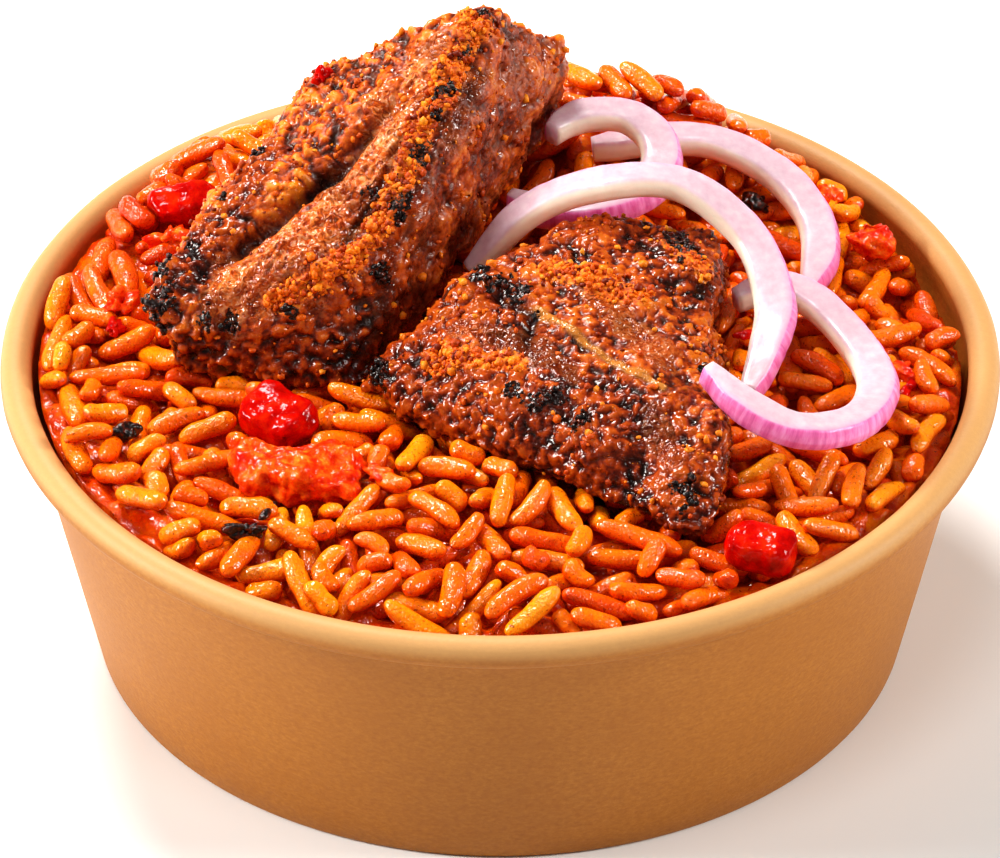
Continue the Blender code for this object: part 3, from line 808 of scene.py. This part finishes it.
def rice_surface(name, dark, middle, light, stained):
    surface = Surface(name, (0.4, 0.0014, (1.0, 0.4, 0.05)), Specular_IOR_Level=0.5)
    tone, depth, stain, flank = map(surface.value, ("tone", "depth", "stain", "flank"))
    mottled = 0.5 * tone + 0.5 * surface.noise(2.2, detail=3, rough=0.6)
    body = mottled.ramp((0.25, *dark), (0.5, *middle), (0.75, *light))
    red = (surface.noise(3.2, detail=4, rough=0.65) + stain).step(0.95, 1.35)
    body = (0.6 * red).over(body, stained)
    # Painted shade: each grain's lower side, and the grains lying deeper in the heap, turn a darker red; for
    # the deeper grains this is partly sauce too
    painted_underside_shade = flank.step(0.55, -0.25)
    sauced = (0.75 * painted_underside_shade).or_higher(0.85 * depth.step(1.0, 4.5))
    body = sauced.over(body, (204, 46, 0))
    specks = surface.noise(0.55, detail=2, rough=0.6).step(0.62, 0.67)
    surface.set("Roughness", surface.noise(1.6, detail=2).step(0.4, 0.62, 0.07, 0.2))
    return surface.painted((0.7 * specks).over(body, (150, 32, 0)),
                           (surface.noise(0.5, detail=1), 0.2), (surface.noise(1.5, detail=2), 0.3))


def make_grains(top, laid, rng):
    """The laid grains as one piece for each kind, the more sauced kinds where more of the sauce lies."""
    points, flank = grain_points(laid, rng)
    count, size = points.shape[:2]
    spread = np.column_stack([laid[:, :2], np.zeros(count)])
    sauce = 0.5 + 0.5 * noise(spread, 17, 31) + 0.25 * noise(spread, 6, 32)
    sauce = sauce + 0.35 * smooth_step(-laid[:, 0], 20, 60) * smooth_step(laid[:, 1], -45, -5)
    order = np.argsort(sauce + rng.normal(0, GRAIN_SOAK, count))
    surface_level = top[cell_of(points[..., 0]), cell_of(points[..., 1])]
    depth = np.clip(np.nan_to_num(surface_level, nan=45) - points[..., 2], 0, 9)
    faces = tube_faces(GRAIN_RINGS, GRAIN_SIDES)[:, ::-1]
    start = 0
    for kind, share, *colours in GRAIN_KINDS:
        members = order[start:start + round(share * count) + 1]
        start += round(share * count) + 1
        many = len(members)
        tone = np.repeat(rng.random(many), size)
        stain = np.repeat(np.clip(sauce[members] * 0.6 + rng.normal(0, 0.15, many), 0, 1), size)
        obj = mesh_object("rice_" + kind, points[members].reshape(-1, 3), copies(faces, many, size),
                          rice_surface(kind + " rice", *colours), tone=tone, depth=depth[members],
                          stain=stain, flank=flank[members])
        finish_piece(obj, "rice", "rice")


def core_surface():
    surface = Surface("sauce between grains", (0.4, 0.002, (1.0, 0.22, 0.05)), Roughness=0.14,
                      Specular_IOR_Level=0.5)
    blotches = surface.noise(3.2, detail=5, rough=0.62)
    deep = blotches.ramp((0.3, 196, 46, 0), (0.55, 226, 80, 0), (0.75, 242, 112, 6))
    mush = blotches.ramp((0.3, 222, 72, 0), (0.48, 240, 108, 4), (0.6, 250, 138, 16), (0.72, 232, 80, 0))
    specks = surface.noise(0.8, detail=2, rough=0.6).step(0.68, 0.72)
    body = (0.8 * specks).over(surface.value("paste").over(deep, mush), (90, 16, 4))
    ripples = surface.noise(0.6, detail=2, twist=0.4)
    return surface.painted(body, (ripples, 0.15), (surface.noise(1.5, detail=3), 0.4))


def paste_share(x, y):
    """How far crushed rice and sauce fill the gaps between grains: 0 for not at all, 1 for nearly full."""
    place = np.stack([x, y, np.zeros_like(x)], axis=-1)
    level = 0.42 * noise(place, 11, 61) + 0.22 * noise(place, 5, 62)
    for middle_x, middle_y, radius in PASTE_PLACES:
        level = np.maximum(level, 1.0 - np.hypot(x - middle_x, y - middle_y) / radius
                           + 0.35 * noise(place, 7, 63) + 0.2 * noise(place, 3.5, 64))
    return smooth_step(level, 0.12, 0.5)


def make_core(top):
    """The sauced mass under the loose grains, lumpy like the grains pressed into it."""
    cosine, sine = circle(CORE_SECTORS)
    radii = CORE_RADIUS * np.arange(1, CORE_RINGS + 1)[:, None] / CORE_RINGS
    x = radii * cosine
    y = radii * sine
    z = np.where(np.isnan(top), EDGE_HEIGHT, top)[cell_of(x), cell_of(y)] - CORE_DEPTH
    place = np.stack([x, y, z * 0], axis=-1)
    paste = paste_share(x, y)
    pressed = 1.6 - 2.6 * lumps(place, 5.0, 3)
    crushed = 1.2 - 1.9 * lumps(place, 3.3, 4) + 0.4 * noise(place, 1.7, 65)
    z = z + (1 - paste) * pressed + paste * (PASTE_RISE + crushed)
    z = z + (WALL_RISE + 0.7 * crushed) * smooth_step(radii, *WALL_BAND) * (1 - paste)
    shell = np.stack([x, y, z], axis=-1).reshape(-1, 3)
    foot_radius = BASE_RADIUS - CORE_MARGIN
    foot = np.stack([foot_radius * cosine, foot_radius * sine, np.full(CORE_SECTORS, CORE_FLOOR)], axis=-1)
    points = np.concatenate([shell, foot, [[0, 0, z[0].mean()], [0, 0, CORE_FLOOR]]])
    faces = tube_faces(CORE_RINGS + 1, CORE_SECTORS)[:, ::-1]
    level = np.concatenate([paste.ravel(), np.zeros(CORE_SECTORS + 2)])
    obj = mesh_object("rice_core", points, faces, core_surface(), paste=level)
    finish_piece(obj, "rice", "rice")


# ---------------- meat

def dense_mesh(node, voxel, passes):
    """A node's mesh in small even faces, its facets softened by a number of smoothing passes."""
    obj = linked("dense", node.data.copy())
    remesh = obj.modifiers.new("even faces", "REMESH")
    remesh.mode = "VOXEL"
    remesh.voxel_size = voxel * MM
    smooth = obj.modifiers.new("soft", "SMOOTH")
    smooth.factor = 0.5
    smooth.iterations = passes
    bpy.context.view_layer.update()
    mesh = bpy.data.meshes.new_from_object(obj.evaluated_get(bpy.context.evaluated_depsgraph_get()))
    bpy.data.objects.remove(obj)
    return mesh


def spots(points, places, seed):
    """1 at the middle of each (x, y, z, radius) place, fading unevenly to 0 at about its radius."""
    ragged = 0.6 * noise(points, 1.9, seed) + 0.4 * noise(points, 0.9, seed + 1)
    level = np.zeros(len(points))
    for x, y, z, radius in places:
        away = np.linalg.norm(points - (x, y, z), axis=1) / radius
        level = np.maximum(level, smooth_step(-away + ragged, -1.1, -0.45))
    return level


def near_lines(points, lines, ragged, low=-1.2, high=-0.5):
    """1 along each (line, width), fading unevenly to 0 at about its width from it."""
    level = np.zeros(len(points))
    for line, width in lines:
        away = along_line(points, line)[0]
        level = np.maximum(level, smooth_step(-away / width + ragged, low, high))
    return level


def fibres(points, direction, seed):
    """Ridges of muscle that run in a direction and wander a little, from 0 in a crease to 1 on a ridge."""
    along = np.array(direction, float)
    along /= np.linalg.norm(along)
    warped = points + FIBRE_WANDER * drift(points, 4.5, seed)
    run = warped @ along
    aside = warped - run[:, None] * along
    squeezed = aside / FIBRE_WIDTH + run[:, None] * along / FIBRE_LENGTH
    return 1 - np.abs(noise(squeezed, 1.0, seed + 5))


def meat_layers(points, normals, convex, plan, seed):
    """How far each point is charred, spiced, bare, fat, dark and so on, from 0 to 1, in a dictionary."""
    edge = smooth_step(convex + 0.35 * noise(points, 3.0, seed), 0.45, 1.3)
    ragged = 0.55 * noise(points, 2.0, seed + 1) + 0.35 * noise(points, 0.9, seed + 2)
    char = np.maximum(0.8 * spots(points, plan["char"], seed + 10), smooth_step(edge + ragged, 1.15, 1.6))
    spice = near_lines(points, plan["spice"], 0.4 * noise(points, 2.2, seed + 20))
    bare = near_lines(points, plan["bare"], 0.4 * noise(points, 2.2, seed + 30))
    bare = bare * (1 - 0.9 * edge) * (1 - spice)
    fat = near_lines(points, plan["fat"], 0.3 * noise(points, 1.5, seed + 95), -1.0, -0.45)
    spice = spice * (1 - fat)
    patches = 0.5 + 0.5 * rough_noise(points, 6.0, seed + 40)
    # front: faces that look toward -Y, which the material paints darker as painted shade
    front = smooth_step(-normals[:, 1] + 0.3 * noise(points, 4.0, seed + 45), *plan["front"])
    cut = smooth_step(normals @ np.array(plan["cut_side"]), 0.55, 0.8) * (1 - 0.8 * edge)
    crust = np.clip((1 - bare) * (0.6 + 0.6 * patches), 0, 1) * (1 - 0.45 * cut) * (1 - fat)
    # dark: darker roast in broad patches, along edges and over a whole chunk, plus painted shade on the front
    # slopes where the plan's dark lines run
    dark = 0.55 * smooth_step(noise(points, 9.0, seed + 46) + 0.4 * noise(points, 3.0, seed + 47), 0.1, 0.6)
    dark = np.maximum(dark, near_lines(points, plan["dark"], 0.4 * noise(points, 2.2, seed + 48)))
    dark = (dark + plan["roast"]) * (1 - 0.8 * spice)
    bundles = cut * smooth_step(lumps(points, 3.4, seed + 49), 0.5, 0.8)
    return {"char": char, "spice": spice, "bare": bare, "fat": fat, "front": front, "cut": cut,
            "crust": crust, "dark": dark, "bundles": bundles}


def meat_relief(points, layers, plan, seed):
    """How far fibres, crust and cracks move each point, how deep in a crack or between muscle bundles it is,
    which the material paints as shade, and how lumpy it is.
    """
    crust, cut, bundles = layers["crust"], layers["cut"], layers.pop("bundles")
    grain = fibres(points, plan["fibre"], seed + 50)
    crooked = points + LUMP_WANDER * drift(points, 1.5, seed + 61)
    big = 1.3 * (1 - 0.4 * cut) * (0.60 - lumps(crooked, 2.1, seed + 60))
    fine = 0.65 * (0.55 - lumps(crooked, 1.1, seed + 70)) + 0.25 * noise(points, 1.0, seed + 72)
    height = crust * (plan["grit"] * big + fine) + (1 - 0.8 * crust) * 0.6 * (grain - 0.75)
    height -= 0.45 * bundles
    height += 0.65 * noise(points, 5.0, seed + 80) + 0.3 * noise(points, 2.4, seed + 81)
    height += 0.2 * layers.pop("bare") * noise(points, 0.9, seed + 82)
    height += 0.15 * layers["char"] + 0.5 * layers["fat"]
    # The gaps between muscle bundles, painted dark like the cracks as painted shade
    deep = 0.5 * bundles
    for line, width, depth in plan["cracks"]:
        away, share = along_line(points, line)
        wander = away + 0.35 * noise(points, 3.0, seed + 90)
        groove = np.exp(-(wander / width) ** 2) * np.sin(math.pi * np.clip(share, 0.04, 0.96)) ** 0.4
        deep = np.maximum(deep, groove)
        height -= depth * groove
    return height, deep, big + fine


def shape_meat(node, plan, seed):
    """The meat's mesh, roughened by its crust and fibres, with a layer of values for each kind of surface."""
    voxel = MEAT_VOXEL[node.name]
    mesh = dense_mesh(node, voxel, MEAT_PASSES)
    melted = dense_mesh(node, voxel, EDGE_PASSES)
    points, normals = read_points(mesh)
    convex = ((points - read_points(melted)[0]) * normals).sum(axis=1)
    bpy.data.meshes.remove(melted)
    for x, y, z, radius, *move in plan["nudges"]:
        away = np.linalg.norm(points - (x, y, z), axis=1) / radius
        points += np.exp(-away ** 2)[:, None] * move
    layers = meat_layers(points, normals, convex, plan, seed)
    height, layers["deep"], lumpy = meat_relief(points, layers, plan, seed)
    points += normals * height[:, None]
    write_points(mesh, points)
    # How high each point stands among the crust's lumps; the material also uses it to paint shade in the gaps
    # between them
    rise = 0.5 + 0.6 * layers["crust"] * lumpy + 0.15 * noise(points, 5.0, seed + 80)
    layers["rise"] = np.clip(rise, 0, 1)
    return mesh, layers


def meat_surface():
    surface = Surface("grilled meat", Specular_IOR_Level=0.42)
    char, spice, crust, cut, fat = map(surface.value, ("char", "spice", "crust", "cut", "fat"))
    rise, front, deep, dark = map(surface.value, ("rise", "front", "deep", "dark"))
    fine = surface.noise(0.7, detail=4, rough=0.65)
    broad = surface.noise(3.6, detail=4, rough=0.62)
    blend = 0.5 * fine + 0.5 * broad
    shade = 0.62 * rise + 0.42 * blend

    # Flesh with painted shade in the creases of its wrinkles and painted highlights along them, the paler
    # inside at a cut side, and the crust over both
    flesh = blend.ramp((0.36, 150, 46, 8), (0.46, 200, 86, 24), (0.55, 226, 122, 52), (0.66, 240, 162, 96))
    # Painted shade and painted highlights: dark lines where the wrinkles' creases would lie in shade, pale
    # squiggles for their glints
    wrinkle_shade_and_glints = surface.noise(1.3, detail=1, twist=1.8)
    flesh = wrinkle_shade_and_glints.step(0.46, 0.38, 0, 0.6).over(flesh, (104, 28, 6))
    flesh = wrinkle_shade_and_glints.step(0.55, 0.62, 0, 0.55).over(flesh, (240, 170, 120))
    inside = blend.ramp((0.36, 70, 24, 10), (0.48, 128, 56, 26), (0.58, 160, 82, 46), (0.68, 186, 108, 68))
    # Painted shade: the crust is painted darker in the gaps between its lumps and lighter on their tops, by
    # their height
    crust_with_gap_shade = shade.ramp((0.38, 20, 2, 1), (0.46, 74, 14, 3), (0.53, 150, 50, 6), (0.6, 214, 92, 10),
                       (0.7, 240, 138, 30))
    body = (0.85 * cut).over(flesh, inside)
    body = (0.9 * crust.step(0.2, 0.7)).over(body, crust_with_gap_shade)

    # Painted shade on the front faces and darker roasted places, painted shade in the cracks, then spice, fat
    # and char on top
    dark_roast_and_painted_shade = (dark + 0.5 * broad).step(0.4, 1.1)
    front_shade_and_dark_roast = (0.6 * front).or_higher(0.8 * dark_roast_and_painted_shade)
    body = front_shade_and_dark_roast.over(body, shade.ramp((0.4, 20, 3, 1), (0.52, 84, 18, 3), (0.64, 156, 54, 10)))
    # Painted shade in the cracks and in the gaps between muscle bundles
    body = (0.9 * deep).over(body, (34, 4, 1))
    powder = surface.noise(0.8, detail=4, rough=0.7) + (0.34 * spice + 0.14 * rise)
    spiced = powder.step(0.70, 0.84)
    spices = surface.noise(0.7, detail=2).ramp((0.3, 190, 70, 2), (0.5, 230, 114, 8), (0.7, 246, 154, 34))
    body = spiced.over(body, spices)
    body = (0.9 * fat).over(body, fine.over((170, 92, 26), (222, 152, 74)))
    soot = 0.8 * char + (fine.step(0.3, 0.7, -0.3, 0.3) + 0.25 * rise)
    body = soot.step(0.5, 0.75).over(body, fine.over((4, 2, 2), (40, 18, 12)))

    bare = crust.step(0.5, 0.1)
    oily = surface.noise(1.6, detail=3, rough=0.6).step(0.5, 0.6).or_higher(0.75 * front_shade_and_dark_roast).or_higher(bare)
    surface.set("Roughness", oily.step(0.0, 1.0, 0.42, 0.13) + 0.25 * spiced)
    wrinkles = surface.noise(1.3, detail=0, twist=1.6) * (2.0 * bare)
    rough = surface.noise(1.0, detail=1, twist=0.5) * (1.0 - bare)
    return surface.painted(body, (wrinkles + rough, 0.2))


def make_meats(nodes, rng):
    surface = meat_surface()
    crumbs, burnt = [], []
    for seed, (name, plan) in enumerate(MEATS.items()):
        mesh, layers = shape_meat(nodes[name], plan, 100 * (seed + 1))
        finish_piece(placed("grilled_" + name, mesh, surface, layers), "grilled_meat", name)
        chance = 0.12 * layers["crust"] * layers["rise"] + layers["spice"] - layers["char"]
        crumbs.append(pick_places(mesh, chance, plan["crumbs"], rng))
        burnt.append(pick_places(mesh, layers["char"] ** 2, plan["burnt"], rng))
    scatter_lumps("spice_crumbs", np.concatenate(crumbs), SPICE_CRUMB, spice_surface(), rng)
    scatter_lumps("charred_crumbs", np.concatenate(burnt), BURNT_CRUMB, char_surface(), rng)


def pick_places(mesh, chance, count, rng):
    """Random points of a surface with their normals, more of them where the chance is high."""
    points, normals = read_points(mesh)
    chance = np.clip(chance, 0, None) * (normals[:, 2] > -0.2)
    picked = rng.choice(len(points), count, replace=False, p=chance / chance.sum())
    return np.concatenate([points[picked], normals[picked]], axis=1)


def ball(splits):
    """Points and triangles of a round lump of radius 1."""
    bm = bmesh.new()
    bmesh.ops.create_icosphere(bm, subdivisions=splits, radius=1.0)
    points = np.array([vertex.co for vertex in bm.verts])
    faces = np.array([[vertex.index for vertex in face.verts] for face in bm.faces])
    bm.free()
    return points, faces


def scatter_lumps(name, places, sizes, surface, rng):
    """Small uneven lumps half sunk into a surface, as one piece."""
    round_points, faces = ball(1)
    count, many = len(places), len(round_points)
    smallest, largest = sizes
    size = smallest + (largest - smallest) * rng.random((count, 1, 1)) ** 2
    size = size * rng.uniform(0.55, 1.3, (count, 1, 3))
    uneven = rng.uniform(-0.3, 0.3, (count, many, 1))
    points = round_points[None] * (1 + uneven) * size + places[:, None, :3] + places[:, None, 3:] * 0.1
    tone = np.repeat(rng.random(count), many)
    obj = mesh_object(name, points.reshape(-1, 3), copies(faces, count, many), surface, tone=tone)
    finish_piece(obj, "grilled_meat")


def make_scraps(name, scraps, surface, slot, seed):
    """Larger uneven scraps, as one piece."""
    round_points, faces = ball(4)
    places = []
    for count, (x, y, z, length, width, height, turn) in enumerate(scraps):
        points = round_points * (length / 2, width / 2, height / 2)
        offset = points + 50 * (count + seed)
        points = points * (1 + 0.65 * noise(offset, 1.5, seed) + 0.5 * noise(offset, 0.7, seed + 1))[:, None]
        cosine, sine = math.cos(math.radians(turn)), math.sin(math.radians(turn))
        turned = points @ np.array([[cosine, sine, 0], [-sine, cosine, 0], [0, 0, 1]])
        places.append(turned + (x, y, z))
    faces = copies(faces, len(scraps), len(round_points))
    finish_piece(mesh_object(name, np.concatenate(places), faces, surface), slot)


def spice_surface():
    surface = Surface("spice crumbs", Roughness=0.4, Specular_IOR_Level=0.3)
    tone = 0.7 * surface.value("tone") + 0.3 * surface.noise(0.4, detail=3)
    powder = tone.ramp((0.15, 110, 28, 2), (0.38, 196, 74, 4), (0.62, 232, 116, 10), (0.88, 246, 154, 34))
    return surface.painted(powder, (surface.noise(0.3, detail=2), 0.1))


def char_surface():
    surface = Surface("char", Roughness=0.28, Specular_IOR_Level=0.4)
    flakes = surface.noise(0.8, detail=3)
    soot = flakes.ramp((0.35, 8, 5, 5), (0.5, 26, 14, 12), (0.64, 96, 30, 10))
    return surface.painted(soot, (flakes, 0.25))


# ---------------- onion

def smooth_path(points, step):
    """Points evenly spread along a Catmull-Rom curve through the given ones, and the distance to each."""
    points = np.array(points, float)
    padded = np.concatenate([[2 * points[0] - points[1]], points, [2 * points[-1] - points[-2]]])
    t = np.linspace(0, 1, CURVE_STEPS, endpoint=False)[:, None]
    fine = []
    for p0, p1, p2, p3 in zip(padded, padded[1:], padded[2:], padded[3:]):
        fine.append(0.5 * (2 * p1 + (p2 - p0) * t + (2 * p0 - 5 * p1 + 4 * p2 - p3) * t ** 2
                           + (3 * p1 - p0 - 3 * p2 + p3) * t ** 3))
    fine = np.concatenate(fine + [points[-1:]])
    lengths = np.concatenate([[0], np.cumsum(np.linalg.norm(np.diff(fine, axis=0), axis=1))])
    wanted = np.linspace(0, lengths[-1], round(lengths[-1] / step) + 1)
    return np.stack([np.interp(wanted, lengths, fine[:, axis]) for axis in range(3)], axis=-1), wanted


def onion_section():
    """Rounded cross-section, (outwards, up), for a full width of 2, its skin leaning out below."""
    flare = 2 * ONION_FLARE / ONION_WIDTH
    corners = np.array([(-0.72, 0), (1, 0), (1 + 0.7 * flare, -0.3), (1 + flare, -0.6), (1 + 0.6 * flare, -1),
                        (0, -1), (-0.7, -1), (-1.02, -0.7), (-1.04, -0.32)], float)
    for cut in CORNER_CUTS:
        after = np.roll(corners, -1, axis=0)
        corners = np.stack([corners * (1 - cut) + after * cut, corners * cut + after * (1 - cut)], axis=1)
        corners = corners.reshape(-1, 2)
    return corners


def unit(vectors):
    return vectors / np.linalg.norm(vectors, axis=1)[:, None]


def make_ring(name, route, surface, seed):
    """One onion ring along its route, narrower at its ends, with the layers that its material reads."""
    path, run = smooth_path(route, ONION_STEP)
    count = len(path)
    ahead = unit(np.gradient(path, axis=0))
    outward = unit(np.cross(ahead, (0, 0, 1)))
    outward *= np.sign(((path - path.mean(axis=0)) * outward).sum(axis=1))[:, None]
    up = np.cross(outward, ahead)
    up *= np.sign(up[:, 2])[:, None]
    share = run / run[-1]
    end = np.clip(np.minimum(share, 1 - share) / ONION_END_LENGTH, 0, 1)
    width = ONION_WIDTH / 2 * (ONION_END + (1 - ONION_END) * np.sin(end * math.pi / 2))
    width *= 1 + 0.05 * noise(np.column_stack([run, run * 0, run * 0]), 9, seed)
    section = onion_section()
    sides = len(section)
    across, down = section[:, 0], -section[:, 1]
    points = (path[:, None] + (across * width[:, None])[..., None] * outward[:, None]
              - (down * ONION_THICKNESS)[:, None] * up[:, None]).reshape(-1, 3)
    wave = 0.10 * noise(points, 3.5, seed + 1) + 0.05 * noise(points, 1.4, seed + 2)
    skin = smooth_step(np.tile(across, count), 0.97, 1.06)
    ridges = 0.07 * skin * noise(np.column_stack([np.repeat(run, sides), points[:, :2] * 0]), 1.1, seed + 3)
    points = points + np.repeat(up, sides, axis=0) * wave[:, None]
    points = points + np.repeat(outward, sides, axis=0) * ridges[:, None]
    points = np.concatenate([points, [points[:sides].mean(axis=0), points[-sides:].mean(axis=0)]])
    layers = {
        "across": np.concatenate([np.tile(across, count), [0, 0]]),
        "down": np.concatenate([np.tile(down, count), [0.5, 0.5]]),
        "run": np.concatenate([np.repeat(run, sides), [0, run[-1]]]),
    }
    obj = mesh_object("sliced_" + name, points, tube_faces(count, sides), surface, **layers)
    fix_normals(obj.data)
    finish_piece(obj, "red_onion", name)


def fix_normals(mesh):
    bm = bmesh.new()
    bm.from_mesh(mesh)
    bmesh.ops.recalc_face_normals(bm, faces=bm.faces[:])
    bm.to_mesh(mesh)
    bm.free()


def onion_surface():
    surface = Surface("red onion", (0.8, 0.005, (1.0, 0.75, 0.8)), Roughness=0.32, Specular_IOR_Level=0.45,
                      Coat_Weight=0.15, Coat_Roughness=0.2)
    across, down, run = map(surface.value, ("across", "down", "run"))
    streak_place = surface.node("ShaderNodeCombineXYZ", 0, {0: 0.75 * run, 1: 0.35 * down, 2: 0.0})
    streaks = surface.node("ShaderNodeTexNoise", "Fac", {"Vector": streak_place, "Scale": 1.0, "Detail": 4.0,
                                                         "Roughness": 0.65})
    clouds = surface.noise(6, detail=3, rough=0.6)
    veins = surface.noise(1.6, detail=3, rough=0.6)
    face = veins.ramp((0.3, 207, 174, 186), (0.55, 216, 188, 197), (0.75, 224, 200, 203))
    blush = (across + 0.7 * clouds).step(0.95, 1.5)
    face = (0.5 * blush).over(face, (218, 138, 186))
    # Painted light: the inner wall and its rounded top edge are painted a pale cream, brighter than the face,
    # to lift the shade that falls on them
    face = (0.6 * across.step(-0.72, -0.95)).over(face, (254, 238, 206))
    skin = streaks.ramp((0.32, 196, 80, 142), (0.48, 222, 118, 174), (0.6, 232, 148, 196),
                        (0.75, 240, 180, 212))
    body = (across.step(0.95, 1.03) * down.step(0.0, 0.1)).over(face, skin)
    under = down.step(0.5, 0.95) * across.step(0.2, -0.9)
    return surface.painted((0.5 * under).over(body, (240, 196, 180)),
                           (surface.noise(0.9, detail=3, rough=0.6), 0.06))


def make_rings():
    surface = onion_surface()
    for seed, (name, route) in enumerate(RINGS.items()):
        make_ring(name, route, surface, 400 + 10 * seed)


# ---------------- pepper and tomato

def pepper_surface():
    surface = Surface("red pepper", (0.2, 0.002, (1.0, 0.12, 0.06)), Roughness=0.14, Specular_IOR_Level=0.18)
    mottle = surface.noise(3.0, detail=4, rough=0.6)
    red = mottle.ramp((0.3, 146, 2, 0), (0.5, 192, 8, 1), (0.72, 218, 46, 4))
    return surface.painted(red, (surface.noise(1.6, detail=2), 0.3))


def pulp_surface():
    surface = Surface("tomato pulp", (0.25, 0.002, (1.0, 0.2, 0.08)), Roughness=0.16, Specular_IOR_Level=0.26)
    mottle = surface.noise(2.2, detail=5, rough=0.65)
    red = mottle.ramp((0.3, 206, 20, 2), (0.45, 228, 56, 6), (0.56, 240, 94, 18), (0.68, 250, 140, 44))
    return surface.painted(red, (surface.noise(1.2, detail=2, twist=0.5), 0.3))


def make_bits(nodes):
    """The pepper chunks, soft and uneven, and the tomato crushed into lumps."""
    pepper, pulp = pepper_surface(), pulp_surface()
    for seed, name in enumerate(PEPPERS + TOMATOES):
        crushed = name in TOMATOES
        mesh = dense_mesh(nodes[name], BIT_VOXEL, BIT_PASSES)
        points, normals = read_points(mesh)
        start = 500 + 10 * seed
        height = 0.65 * noise(points, 3.4, start) + 0.16 * noise(points, 1.3, start + 1)
        if crushed:
            strands = points + 1.4 * drift(points, 3.0, start + 5)
            height += 1.1 * (0.5 - lumps(strands, 4.2, start + 2)) + 1.4 * noise(points, 5.0, start + 3)
            height += 0.7 * rough_noise(points, 2.2, start + 4)
        height -= SUNK.get(name, 0)
        write_points(mesh, points + normals * height[:, None])
        obj = placed("soft_" + name, mesh, pulp if crushed else pepper, {})
        finish_piece(obj, "tomato" if crushed else "red_pepper", name)
    surfaces = (pepper, pulp, char_surface())
    for seed, ((name, slot), scraps) in enumerate(SCRAPS.items()):
        make_scraps(name, scraps, surfaces[seed], slot, 7 + 10 * seed)


# ---------------- stage

def make_camera():
    data = bpy.data.cameras.new("camera")
    data.lens = CAMERA_LENS
    data.sensor_width = CAMERA_SENSOR
    data.clip_end = CAMERA_REACH
    camera = linked("camera", data)
    tilt = math.radians(CAMERA_TILT)
    camera.location = Vector((0, -math.cos(tilt) * CAMERA_DISTANCE,
                              CAMERA_AIM + math.sin(tilt) * CAMERA_DISTANCE)) * MM
    camera.rotation_euler = (math.pi / 2 - tilt, 0, 0)
    bpy.context.scene.camera = camera


def add_light(name, direction, elevation, size, power, tint):
    """A soft disk that faces the bowl, in a direction in degrees from +X and an elevation above the floor."""
    data = bpy.data.lights.new(name, "AREA")
    data.shape = "DISK"
    data.size = size
    data.energy = power
    data.color = tint
    light = linked(name, data)
    turn, rise = math.radians(direction), math.radians(elevation)
    way = Vector((math.cos(turn) * math.cos(rise), math.sin(turn) * math.cos(rise), math.sin(rise)))
    light.location = Vector((0, 0, LIGHT_AIM)) * MM + way * LIGHT_DISTANCE
    light.rotation_euler = way.to_track_quat("Z", "Y").to_euler()


def make_stage():
    floor = bpy.data.meshes.new("floor")
    corners = [(-FLOOR_REACH, -FLOOR_REACH, 0), (FLOOR_REACH, -FLOOR_REACH, 0),
               (FLOOR_REACH, FLOOR_REACH, 0), (-FLOOR_REACH, FLOOR_REACH, 0)]
    floor.from_pydata(corners, [], [(0, 1, 2, 3)])
    surface = Surface("pale floor", Roughness=0.9, Specular_IOR_Level=0.1)
    surface.set("Base Color", surface.noise(400, detail=1).over((247, 247, 247), (250, 250, 250)))
    placed("floor", floor, surface, {})

    world = bpy.data.worlds.new("studio")
    world.use_nodes = True
    background = world.node_tree.nodes["Background"]
    background.inputs["Color"].default_value = WORLD_COLOUR
    background.inputs["Strength"].default_value = WORLD_LIGHT
    bpy.context.scene.world = world
    view = bpy.context.scene.view_settings
    view.view_transform = "Standard"
    view.look = "Medium High Contrast"
    for light in LIGHTS:
        add_light(*light)


def main():
    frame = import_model()
    rng = np.random.default_rng(SEED)
    make_camera()
    make_bowl()
    top, ceiling, hidden = heap_maps(frame["nodes"])
    make_grains(top, lay_grains(top, ceiling, hidden, rng), rng)
    make_core(top)
    make_meats(frame["nodes"], rng)
    make_rings()
    make_bits(frame["nodes"])
    make_stage()


main()
